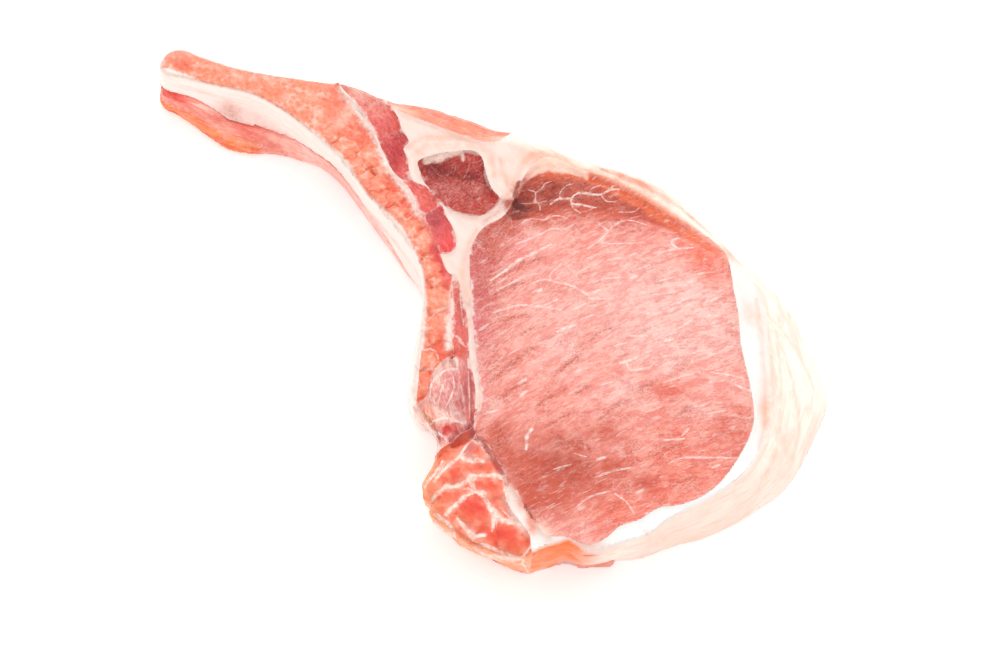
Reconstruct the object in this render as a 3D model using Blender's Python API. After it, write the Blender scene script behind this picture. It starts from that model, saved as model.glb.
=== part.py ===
"""A raw pork rib chop on the bone, lying on its lower saw cut with its upper one on show.

The chop is first shaped as one slab: rings of its outline at several heights, lofted into a body whose wall
leans, bulges and rounds over as the meat does. Each muscle, bone and layer of fat is then the part of that
slab inside its own outline, so that it runs through the chop from one cut face to the other.
"""

import bmesh
import bpy
import numpy as np

MM = 0.001

# Driving dimensions, in millimetres
THICKNESS = 19.5  # from one saw cut to the other
EDGE_ROUND = 0.9  # how far the upper cut's edge rounds in
FOOT_ROUND = 0.8  # the same at the lower cut
GAP = 0.3  # clearance between neighbouring pieces
OVERCUT = 5.0  # how far an outline's prism stands out of the slab, above and below
UNDER_REACH = 100.0  # half the length, across the chop, of the block that parts the meat under the rib
OUTLINE_STEPS = 3  # points on the curve for each point of an outline
LEAN_REACH = 5  # the wall leans square to this many of those points either way

# The wall's outline from the lower cut up: (height, share of the shoulder's, belly's and foot's lean in how
# far it stands out, how far it rounds in)
WALL_LEVELS = (
    (0.0, (0.0, 0.0, 1.0), FOOT_ROUND),
    (0.7, (0.0, 0.0, 1.0), 0.3 * FOOT_ROUND),
    (2.2, (0.0, 0.0, 1.0), 0.0),
    (6.1, (0.0, 0.5, 0.5), 0.0),
    (10.0, (0.0, 1.0, 0.0), 0.0),
    (13.5, (0.4, 0.6, 0.0), 0.0),
    (17.0, (1.0, 0.0, 0.0), 0.0),
    (THICKNESS - 0.8, (0.5, 0.0, 0.0), 0.2 * EDGE_ROUND),
    (THICKNESS, (0.0, 0.0, 0.0), EDGE_ROUND),
)

# The edge of the upper cut, anticlockwise from the tip of the rib. Each stretch has the way its wall leans
# where the stretch starts, as how far out it stands at the shoulder, near the top, at the belly, halfway, and
# at the foot, and then the stretch's points.
RIM = (
    ("end of the rib", (0.6, 1.2, 2.6), ((-86.4, 67.0), (-86.0, 64.6))),
    ("near corner of the rib", (0.4, 0.8, 1.4), ((-83.8, 63.0),)),
    ("near side of the rib's tip", (0.2, 0.3, 3.2), ((-79.5, 62.0), (-74.0, 60.4))),
    ("over the lip of meat", (0.2, 0.2, 8.2), ((-67.5, 58.8), (-62.5, 57.2))),
    ("end of the lip", (0.2, 0.3, 7.4), ((-59.8, 56.0),)),
    ("past the lip", (0.2, 0.6, 4.6), ((-56.0, 53.6), (-50.8, 49.7))),
    ("near side of the rib", (0.2, 0.3, -0.6), ((-46.0, 45.4), (-41.4, 41.2), (-37.5, 36.4))),
    ("bend of the rib", (0.2, -0.1, -0.6), ((-33.8, 30.8), (-30.0, 25.8), (-26.0, 20.6))),
    ("flap by the foot of the rib", (0.2, 0.2, 0.6), ((-22.3, 15.4), (-19.2, 10.4))),
    ("foot of the rib", (0.2, 0.3, -0.4), ((-17.5, 5.0), (-17.0, -1.0), (-17.4, -8.0))),
    ("flange of the rib", (0.8, 1.9, 3.0), ((-18.1, -15.0), (-18.7, -21.5))),
    ("corner of the flange", (1.4, 2.2, 1.6), ((-18.9, -26.6),)),
    ("under the flange", (1.0, 0.2, -2.6), ((-17.7, -31.4), (-14.8, -35.6))),
    ("hollow at the joint", (0.6, -0.8, -3.6), ((-13.2, -39.2), (-12.6, -42.8), (-13.5, -46.6))),
    ("outer lobe of the chine", (1.9, 1.6, -0.8), ((-15.0, -50.4), (-14.9, -53.0), (-13.2, -55.2))),
    ("lower lobe of the chine", (1.8, 1.0, -2.0), ((-13.5, -57.4), (-11.2, -60.2), (-7.6, -64.1))),
    ("underside of the chine", (0.6, -0.8, -4.0), ((-3.8, -66.9), (1.8, -68.4), (7.2, -69.4))),
    ("lower end of the eye", (0.2, 0.0, -0.8), ((12.0, -67.8), (17.4, -66.4), (21.4, -68.2))),
    ("lower fat", (0.2, 0.0, -2.8), ((26.2, -68.1), (32.0, -66.1))),
    ("step of the lower fat", (0.2, 0.6, -0.8), ((37.2, -64.5), (43.0, -60.0))),
    ("swell of the lower fat", (0.4, 2.4, 3.0), ((50.0, -56.2), (56.0, -52.4))),
    ("lower corner of the cap", (0.8, 3.8, 5.0), ((60.6, -48.4), (63.9, -43.2))),
    ("flare of the cap", (1.8, 7.4, 11.4), ((65.7, -37.0), (66.5, -30.0))),
    ("widest of the cap", (3.0, 11.2, 17.4), ((66.9, -22.0), (67.0, -14.0), (66.8, -7.0))),
    ("upper end of the cap", (3.4, 8.6, 12.0), ((65.6, -0.8), (62.8, 4.6))),
    ("far corner of the eye", (2.4, 5.0, 7.4), ((59.2, 9.4), (55.4, 12.4))),
    ("far side of the eye", (4.8, 8.8, 9.6), ((50.6, 15.9), (45.8, 19.8))),
    ("far bulge of the eye", (7.0, 11.6, 12.2), ((40.4, 23.8), (34.4, 27.4), (28.0, 30.2))),
    ("dip beside the eye", (6.2, 10.2, 10.8), ((22.4, 32.4), (17.2, 35.2), (12.6, 38.4))),
    ("far fat", (4.2, 7.6, 8.2), ((8.2, 41.0), (3.0, 42.5), (-2.0, 43.0))),
    ("far lean", (5.5, 9.8, 10.2), ((-7.4, 44.9), (-13.0, 47.5))),
    ("end of the far lean", (4.8, 8.4, 8.8), ((-19.2, 50.3), (-24.8, 53.3))),
    ("back of the strip muscle", (1.4, 3.0, 3.0), ((-28.8, 55.8), (-32.8, 58.2), (-38.0, 60.4))),
    ("back of the rib", (0.8, 2.0, 2.0), ((-46.0, 61.8), (-55.0, 63.1), (-63.0, 64.7), (-69.0, 66.3))),
    ("back of the rib's tip", (1.0, 1.8, 1.4), ((-75.0, 68.7), (-80.4, 71.1), (-84.2, 70.6))),
)

# What each piece takes of the slab, seen from above and anticlockwise. Where two outlines overlap, the piece
# that comes first keeps the ground. Outlines that pass the edge of the slab end at its wall.
EYE = (
    (5.6, 26.0), (4.4, 23.2), (2.2, 20.4), (-1.6, 18.2), (-4.2, 14.6), (-5.4, 10.0), (-5.2, 4.0), (-4.8, -3.0),
    (-4.4, -10.0), (-3.6, -18.0), (-2.8, -25.0), (-2.6, -30.5), (-3.9, -35.0), (-3.8, -38.2), (-1.2, -40.6),
    (1.4, -45.0), (4.6, -51.0), (7.6, -56.2), (10.4, -61.0), (13.0, -64.4), (17.6, -64.7), (20.6, -66.0),
    (23.4, -66.6), (27.0, -64.9), (30.4, -61.9), (35.0, -60.3), (39.6, -57.3), (44.5, -56.6), (50.0, -54.4),
    (54.8, -50.3), (59.2, -44.0), (62.4, -37.4), (63.1, -32.0), (62.3, -24.0), (60.8, -15.0), (60.5, -6.0),
    (59.6, 1.0), (58.9, 7.8), (57.0, 12.4), (52.0, 17.0), (45.6, 21.8), (39.2, 26.8), (32.6, 31.0),
    (27.0, 33.8), (22.0, 35.2), (17.5, 38.0), (13.6, 38.6), (10.4, 36.0), (7.6, 31.4),
)
SMALL_MUSCLE = (
    (-18.6, 37.2), (-18.2, 34.4), (-17.0, 31.0), (-14.9, 28.4), (-12.4, 24.8), (-9.0, 22.6), (-3.6, 21.3),
    (0.2, 23.4), (1.8, 26.3), (-0.3, 29.2), (-1.8, 34.0), (-2.7, 38.0), (-5.0, 40.1), (-10.6, 39.8), (-14.6, 38.9),
)
STRIP_MUSCLE = (
    (-41.0, 66.0), (-38.6, 58.9), (-35.0, 54.9), (-31.8, 50.4), (-29.6, 45.0), (-27.6, 39.6), (-25.0, 34.2),
    (-21.8, 30.8), (-19.6, 27.0), (-18.5, 23.6), (-16.9, 22.0), (-14.8, 23.2), (-13.5, 24.6), (-14.9, 26.9),
    (-16.8, 29.6), (-20.0, 31.2), (-21.2, 34.0), (-21.7, 38.0), (-22.8, 40.8), (-21.5, 43.2), (-23.4, 46.6),
    (-24.3, 50.0), (-26.4, 53.4), (-28.4, 56.0), (-28.0, 64.0),
)
BEAN_MUSCLE = (
    (-16.6, 21.2), (-16.0, 19.2), (-14.8, 16.6), (-13.3, 13.0), (-11.7, 11.1), (-9.6, 11.8), (-9.1, 14.6),
    (-10.2, 18.4), (-11.8, 21.2), (-12.8, 24.2), (-14.8, 23.6),
)
SEAM_MUSCLE = (
    (-9.4, 4.8), (-10.1, 1.0), (-10.0, -4.0), (-9.8, -10.0), (-9.4, -16.0), (-8.5, -20.0), (-7.5, -24.5),
    (-6.7, -29.0), (-6.4, -33.0), (-5.6, -35.4), (-4.5, -32.4), (-4.1, -28.0), (-4.7, -23.0), (-5.6, -18.5),
    (-5.8, -14.0), (-6.1, -9.0), (-6.8, -4.0), (-7.9, 0.8),
)
FAR_LEAN = (
    (-27.4, 56.4), (-24.2, 52.6), (-20.0, 50.3), (-15.0, 48.2), (-10.0, 45.7), (-6.0, 44.1), (-2.8, 43.2),
    (0.2, 43.0), (2.6, 44.6), (4.8, 48.0), (6.0, 60.0), (-12.0, 68.0), (-28.0, 68.0),
)
JOINT_CAPSULE = (
    (-13.4, -20.8), (-15.0, -24.6), (-15.8, -28.6), (-18.4, -30.4), (-26.0, -31.0), (-26.0, -40.0),
    (-17.0, -44.0), (-11.0, -41.4), (-7.6, -38.6), (-4.4, -36.0), (-5.4, -30.0), (-6.6, -24.0), (-8.0, -19.4),
    (-10.6, -18.2),
)
CHINE_BONE = (
    (-11.0, -41.4), (-18.0, -43.8), (-26.0, -50.0), (-26.0, -76.0), (4.0, -78.0), (10.6, -74.0), (9.3, -69.0),
    (9.0, -66.6), (8.8, -64.4), (6.8, -61.4), (4.2, -57.6), (3.0, -54.0), (4.0, -51.2), (2.8, -46.0),
    (0.4, -42.0), (-3.0, -38.0), (-5.0, -36.0), (-7.6, -38.6),
)
RIB = (
    (-95.0, 60.0), (-70.0, 40.0), (-45.0, 30.0), (-30.0, 5.0), (-26.0, -31.0), (-18.4, -30.4), (-15.8, -28.6),
    (-15.0, -24.6), (-13.4, -20.8), (-10.6, -18.2), (-9.4, -12.0), (-9.6, -4.0), (-9.8, 3.0), (-11.6, 6.0),
    (-13.0, 10.0), (-14.6, 14.6), (-16.4, 19.4), (-18.0, 24.0), (-22.0, 31.0), (-27.0, 39.0), (-31.0, 48.0),
    (-36.0, 56.0), (-39.0, 60.0), (-41.0, 68.0), (-70.0, 78.0), (-95.0, 80.0),
)
FAT_FIELD = (
    (-28.6, 57.0), (-25.6, 51.0), (-22.4, 44.0), (-22.6, 40.0), (-21.0, 36.0), (-20.6, 31.4), (-17.0, 29.8),
    (-13.6, 26.0), (-12.6, 22.0), (-10.0, 16.0), (-11.0, 10.4), (-13.0, 10.4), (-11.4, 5.6), (-9.6, 4.6),
    (-7.6, 0.6), (-6.2, -8.0), (-5.4, -19.0), (-4.2, -28.0), (-3.0, -32.6), (10.0, -36.0), (6.0, -48.0),
    (3.2, -53.0), (3.6, -57.0), (7.0, -62.0), (8.9, -66.0), (9.6, -72.0), (30.0, -76.0), (95.0, -70.0),
    (95.0, 20.0), (40.0, 60.0), (0.0, 70.0),
)

# The meat under the rib shows along the wall below this line: (x, height), from the tip of the rib.
UNDER_LINE = (
    (-95.0, 11.5), (-84.0, 11.8), (-80.0, 10.6), (-75.0, 9.0), (-69.0, 7.2), (-64.0, 7.2), (-58.0, 7.8),
    (-52.0, 8.7), (-46.0, 9.8), (-40.0, 10.8), (-34.0, 9.6), (-28.0, 7.2), (-23.0, 4.0), (-19.0, 0.6),
    (-17.0, -2.0),
)

# A tongue of lean that looks out from under the lower fat
TONGUE_LOW = (20.5, -65.4, 0.0)
TONGUE_HIGH = (29.4, -60.0, 4.4)
TONGUE_ROUND = 1.1

# Colours of the pieces: (red, green, blue), roughness
LEAN = ((0.62, 0.22, 0.19), 0.35)
DARK_LEAN = ((0.38, 0.08, 0.08), 0.35)
PALE_LEAN = ((0.78, 0.36, 0.27), 0.4)
FAT = ((0.88, 0.76, 0.68), 0.45)
BONE = ((0.80, 0.42, 0.30), 0.55)
GRISTLE = ((0.80, 0.52, 0.46), 0.4)


def smooth_loop(points, steps):
    """A closed Catmull-Rom curve through the points, which may have any number of values each."""
    here = np.array(points, float)
    before, after, beyond = (np.roll(here, shift, axis=0) for shift in (1, -1, -2))
    rows = []
    for t in np.arange(steps) / steps:
        cubic = (3 * here - before - 3 * after + beyond) * t**3
        square = (2 * before - 5 * here + 4 * after - beyond) * t**2
        rows.append(0.5 * (2 * here + (after - before) * t + square + cubic))
    return np.stack(rows, axis=1).reshape(-1, here.shape[1])


def outward(loop, reach=1):
    """The unit normal at each point of an anticlockwise loop, in the plan, over this many points either way."""
    along = sum(np.roll(loop, -step, axis=0) - np.roll(loop, step, axis=0) for step in range(1, reach + 1))
    across = np.stack([along[:, 1], -along[:, 0]], axis=1)
    return across / np.linalg.norm(across, axis=1, keepdims=True)


def rim_points():
    """The points of RIM, each as x, y and its wall's shoulder, belly and foot, blended along each stretch."""
    rows = []
    for (_, wall, points), (_, next_wall, _) in zip(RIM, RIM[1:] + RIM[:1]):
        for number, point in enumerate(points):
            share = number / len(points)
            leans = [(1 - share) * a + share * b for a, b in zip(wall, next_wall)]
            rows.append((*point, *leans))
    return rows


def slab_rings():
    """The slab's outline at each height, from the lower cut up, as arrays of x, y, z in millimetres."""
    rim = smooth_loop(rim_points(), OUTLINE_STEPS)
    plan, leans = rim[:, :2], rim[:, 2:]
    normals = outward(plan, LEAN_REACH)
    rings = []
    for height, shares, round_in in WALL_LEVELS:
        out = leans @ shares - round_in
        ring = plan + normals * out[:, None]
        rings.append(np.column_stack([ring, np.full(len(ring), height)]))
    return rings


def plan_centre(rings):
    points = np.concatenate(rings)
    return (points.min(axis=0) + points.max(axis=0))[:2] / 2


def collection(name):
    made = bpy.data.collections.new(name)
    bpy.context.scene.collection.children.link(made)
    return made


def material(name, look):
    colour, roughness = look
    made = bpy.data.materials.new(name)
    made.use_nodes = True
    shader = made.node_tree.nodes["Principled BSDF"]
    shader.inputs["Base Color"].default_value = (*colour, 1.0)
    shader.inputs["Roughness"].default_value = roughness
    shader.inputs["Metallic"].default_value = 0.0
    return made


def mesh_object(name, shape, group):
    """An object with the bmesh's shape, facing out."""
    bmesh.ops.recalc_face_normals(shape, faces=shape.faces)
    mesh = bpy.data.meshes.new(name)
    shape.to_mesh(mesh)
    shape.free()
    made = bpy.data.objects.new(name, mesh)
    group.objects.link(made)
    return made


def loft(name, rings, group):
    """A closed body through the rings, with a flat face at either end."""
    shape = bmesh.new()
    rows = [[shape.verts.new(point * MM) for point in ring] for ring in rings]
    for lower, upper in zip(rows, rows[1:]):
        for i in range(len(lower)):
            shape.faces.new((lower[i - 1], lower[i], upper[i], upper[i - 1]))
    shape.faces.new(rows[0])
    shape.faces.new(rows[-1])
    return mesh_object(name, shape, group)


def prism(name, loop, low, high, group, upright=True):
    """A flat outline given thickness: a filled 2D curve, made a mesh with its caps welded.

    Upright it stands along Z from low to high. Otherwise the loop is (x, z) and it lies along Y.
    """
    curve = bpy.data.curves.new(name, "CURVE")
    curve.dimensions = "2D"
    curve.fill_mode = "BOTH"
    curve.extrude = (high - low) / 2 * MM
    spline = curve.splines.new("POLY")
    spline.points.add(len(loop) - 1)
    for point, (across, along) in zip(spline.points, loop):
        point.co = (across * MM, along * MM, 0.0, 1.0)
    spline.use_cyclic_u = True
    outline = bpy.data.objects.new(name + "_outline", curve)
    group.objects.link(outline)
    middle = (low + high) / 2 * MM
    if upright:
        outline.location = (0.0, 0.0, middle)
    else:
        outline.rotation_euler = (np.pi / 2, 0.0, 0.0)
        outline.location = (0.0, middle, 0.0)
    bpy.context.view_layer.update()
    graph = bpy.context.evaluated_depsgraph_get()
    mesh = bpy.data.meshes.new_from_object(outline.evaluated_get(graph))
    shape = bmesh.new()
    shape.from_mesh(mesh)
    shape.transform(outline.matrix_world)
    bmesh.ops.remove_doubles(shape, verts=shape.verts, dist=0.001 * MM)
    bpy.data.objects.remove(outline)
    bpy.data.meshes.remove(mesh)
    return mesh_object(name, shape, group)


def outline_prism(name, points, grown, group):
    """The prism of one of the outlines above, made larger all round by grown."""
    loop = smooth_loop(points, OUTLINE_STEPS)
    loop = loop + outward(loop) * grown
    return prism(name, loop, -OVERCUT, THICKNESS + OVERCUT, group)


def under_block(name, grown, group):
    """All that lies below the line of the meat under the rib."""
    line = [(x, height + grown) for x, height in UNDER_LINE]
    deep = -2 * OVERCUT
    loop = [(UNDER_LINE[-1][0], deep), *reversed(line), (UNDER_LINE[0][0], deep)]
    return prism(name, loop, -UNDER_REACH, UNDER_REACH, group, upright=False)


def tongue(name, grown, group):
    """The tongue of lean: a rounded block, flat below."""
    low, high = np.array(TONGUE_LOW), np.array(TONGUE_HIGH)
    foot_drop = np.array((0.0, 0.0, TONGUE_ROUND if grown else 0.0))
    low, high = low - grown - foot_drop, high + grown
    shape = bmesh.new()
    bmesh.ops.create_cube(shape, size=1.0)
    for vert in shape.verts:
        vert.co = [(middle + at * size) * MM for middle, at, size in zip((low + high) / 2, vert.co, high - low)]
    foot = low[2] * MM
    rounded = [edge for edge in shape.edges if max(vert.co.z for vert in edge.verts) > foot + MM]
    bmesh.ops.bevel(shape, geom=rounded, offset=TONGUE_ROUND * MM, segments=3, profile=0.5, affect="EDGES")
    return mesh_object(name, shape, group)


def cut(target, operation, tool):
    """One exact Boolean on the target, kept as the shape of its mesh."""
    modifier = target.modifiers.new(operation.lower(), "BOOLEAN")
    modifier.operation = operation
    modifier.solver = "EXACT"
    modifier.object = tool
    bpy.context.view_layer.update()
    graph = bpy.context.evaluated_depsgraph_get()
    shaped = bpy.data.meshes.new_from_object(target.evaluated_get(graph))
    target.modifiers.remove(modifier)
    old = target.data
    target.data = shaped
    bpy.data.meshes.remove(old)


def body_volume(faces):
    """Six times the volume inside the faces, which is all that comparing bodies needs."""
    total = 0.0
    for face in faces:
        first = face.verts[0].co
        for a, b in zip(face.verts[1:], face.verts[2:]):
            total += first.dot(a.co.cross(b.co))
    return total


def keep_largest_body(target):
    """Drops the crumbs that overlapping outlines can leave beside a piece."""
    shape = bmesh.new()
    shape.from_mesh(target.data)
    bmesh.ops.remove_doubles(shape, verts=shape.verts, dist=0.001 * MM)
    left = set(shape.faces)
    bodies = []
    while left:
        found = [left.pop()]
        for face in found:
            near = {other for edge in face.edges for other in edge.link_faces} & left
            left -= near
            found.extend(near)
        bodies.append(found)
    largest = max(bodies, key=body_volume)
    crumbs = [face for body in bodies if body is not largest for face in body]
    bmesh.ops.delete(shape, geom=crumbs, context="FACES")
    shape.to_mesh(target.data)
    shape.free()


def dress(piece, name, look):
    piece.data.materials.clear()
    piece.data.materials.append(material(name, look))
    piece.data.shade_smooth()
    piece.data.set_sharp_from_angle(angle=np.radians(35))


def build():
    for old in list(bpy.data.objects):
        bpy.data.objects.remove(old)
    chop = collection("raw_pork_rib_chop")
    cutters = collection("cutters")

    rings = slab_rings()
    tongue_cutter = tongue("tongue_cutter", GAP, cutters)
    under_cutter = under_block("under_cutter", 0.0, cutters)
    under_cutter_grown = under_block("under_cutter_grown", GAP, cutters)

    # (name, outline, look) from the piece that keeps its whole outline to the one that takes what is left
    pieces = (
        ("loin_eye", EYE, LEAN),
        ("small_muscle", SMALL_MUSCLE, DARK_LEAN),
        ("strip_muscle", STRIP_MUSCLE, DARK_LEAN),
        ("bean_muscle", BEAN_MUSCLE, DARK_LEAN),
        ("seam_muscle", SEAM_MUSCLE, DARK_LEAN),
        ("far_lean", FAR_LEAN, PALE_LEAN),
        ("joint_capsule", JOINT_CAPSULE, GRISTLE),
        ("chine_bone", CHINE_BONE, BONE),
        ("rib_bone", RIB, BONE),
        ("fat", FAT_FIELD, FAT),
    )
    taken = []
    made = []
    for name, points, look in pieces:
        piece = loft(name, rings, chop)
        cut(piece, "INTERSECT", outline_prism(name + "_outline", points, 0.0, cutters))
        for other in taken:
            cut(piece, "DIFFERENCE", other)
        cut(piece, "DIFFERENCE", tongue_cutter)
        taken.append(outline_prism(name + "_grown", points, GAP, cutters))
        made.append((piece, look))

    rib = bpy.data.objects["rib_bone"]
    under = rib.copy()
    under.data = rib.data.copy()
    under.name = "under_meat"
    chop.objects.link(under)
    cut(under, "INTERSECT", under_cutter)
    cut(rib, "DIFFERENCE", under_cutter_grown)
    made.append((under, PALE_LEAN))
    made.append((tongue("lean_tongue", 0.0, chop), PALE_LEAN))

    for piece, look in made:
        keep_largest_body(piece)
        dress(piece, piece.name, look)

    centre_x, centre_y = plan_centre(rings) * MM
    for piece in (*chop.objects, *cutters.objects):
        piece.location = (-centre_x, -centre_y, 0.0)
    for cutter in cutters.objects:
        cutter.hide_render = True
        cutter.display_type = "WIRE"


build()
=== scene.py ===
"""A raw bone-in pork chop: the finish of its cut faces, bone, fat and skin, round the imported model.

Lengths in the drawing are millimetres, x to the right, y away and z up, in the chop's own drawing frame.
"""
import math

import bpy
import numpy as np
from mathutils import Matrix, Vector
from mathutils.bvhtree import BVHTree


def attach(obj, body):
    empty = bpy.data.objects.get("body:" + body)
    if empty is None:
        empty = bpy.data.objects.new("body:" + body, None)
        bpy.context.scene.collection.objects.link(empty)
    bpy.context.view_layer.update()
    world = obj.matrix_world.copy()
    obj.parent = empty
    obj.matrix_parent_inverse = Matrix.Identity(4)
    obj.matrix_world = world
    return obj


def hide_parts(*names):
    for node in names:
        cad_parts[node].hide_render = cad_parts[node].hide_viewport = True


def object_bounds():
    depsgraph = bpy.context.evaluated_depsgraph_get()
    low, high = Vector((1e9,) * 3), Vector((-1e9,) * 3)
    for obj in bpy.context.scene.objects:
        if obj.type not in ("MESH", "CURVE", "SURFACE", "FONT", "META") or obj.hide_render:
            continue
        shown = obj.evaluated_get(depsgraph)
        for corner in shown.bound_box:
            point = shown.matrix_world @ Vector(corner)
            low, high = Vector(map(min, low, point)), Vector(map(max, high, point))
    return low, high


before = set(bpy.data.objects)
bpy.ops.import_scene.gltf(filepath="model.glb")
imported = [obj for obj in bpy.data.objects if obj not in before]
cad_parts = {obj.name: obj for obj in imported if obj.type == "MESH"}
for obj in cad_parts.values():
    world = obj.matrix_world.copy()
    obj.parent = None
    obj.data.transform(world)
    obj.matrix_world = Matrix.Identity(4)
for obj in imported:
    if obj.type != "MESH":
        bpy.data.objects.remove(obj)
cad_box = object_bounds()

MM = 0.001
THICKNESS = cad_box[1].z / MM
# The drawing's leftmost and nearest points, which place the drawing in the frame
DRAWING_LEFT = -88.995
DRAWING_NEAR = -69.733
SHIFT = np.array([cad_box[0].x / MM - DRAWING_LEFT, cad_box[0].y / MM - DRAWING_NEAR, 0.0])

FAR_AWAY = 99.0
GAP = 0.3  # between two solids of the frame
OVERLAP = 0.05  # how far a piece reaches past the middle of that gap
WELD = 0.00001  # metres
STEEP = 0.35  # how level a normal has to be for its face to count as a wall
LIGHT_LEVEL = 1.32  # how bright a white cut face comes out under the lights
WALL_LEVEL = 1.05  # and a white near wall


# --------------------------------------------------------------------------------------------- drawing lines

FAR_RIM = (
    (4.4, 23.2), (5.6, 26), (7.6, 31.4), (10.4, 36), (13.6, 38.6), (17.5, 38), (22, 35.2), (27, 33.8),
    (32.6, 31), (39.2, 26.8), (45.6, 21.8), (52, 17), (57, 12.4), (58.9, 7.8),
)
SUNK_EDGE = (
    (3.6, 21.4), (5, 19.6), (12, 20.4), (20, 21.2), (28, 20.9), (36, 19.6), (44, 16.6), (50, 14),
    (55, 11), (58.9, 7.8),
)
RIB_NEAR_EDGE = (
    (-84.3, 64.8), (-73.7, 60.4), (-63.7, 58), (-57.6, 54.6), (-51.5, 50.6), (-47, 46.9), (-43.5, 44),
    (-40.4, 40.7), (-37.4, 37.6), (-34.8, 32.9), (-32.3, 28.6), (-28.3, 24.3), (-23.9, 19.4), (-21, 14.8),
    (-19.3, 11), (-17.8, 7), (-17, 2.4), (-16.6, -3), (-16.8, -9), (-17.2, -15),
)
RIB_WHITE_BAND = (
    (-39, 59.2), (-36.2, 55.2), (-33.2, 50.4), (-30.4, 46), (-28.5, 41), (-27, 37), (-25, 33.5),
    (-22, 29.5), (-20, 26), (-19, 23), (-17, 20.5), (-14.5, 16.5), (-13.2, 12), (-11.8, 8), (-10.6, 4),
    (-10.3, 0), (-10.4, -8), (-10.5, -15),
)
RIB_FAR_EDGE = (
    (-85, 70.6), (-74.6, 69.4), (-67.5, 66.2), (-59, 64.6), (-46.5, 62.2), (-39, 60.2),
)
FAT_OUTER = (
    (58, 27), (64, 18), (72, 8), (79, -4), (83, -16), (84, -28), (81, -40), (74, -51), (64, -60),
    (50, -66), (36, -68.5), (20, -69),
)

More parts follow.
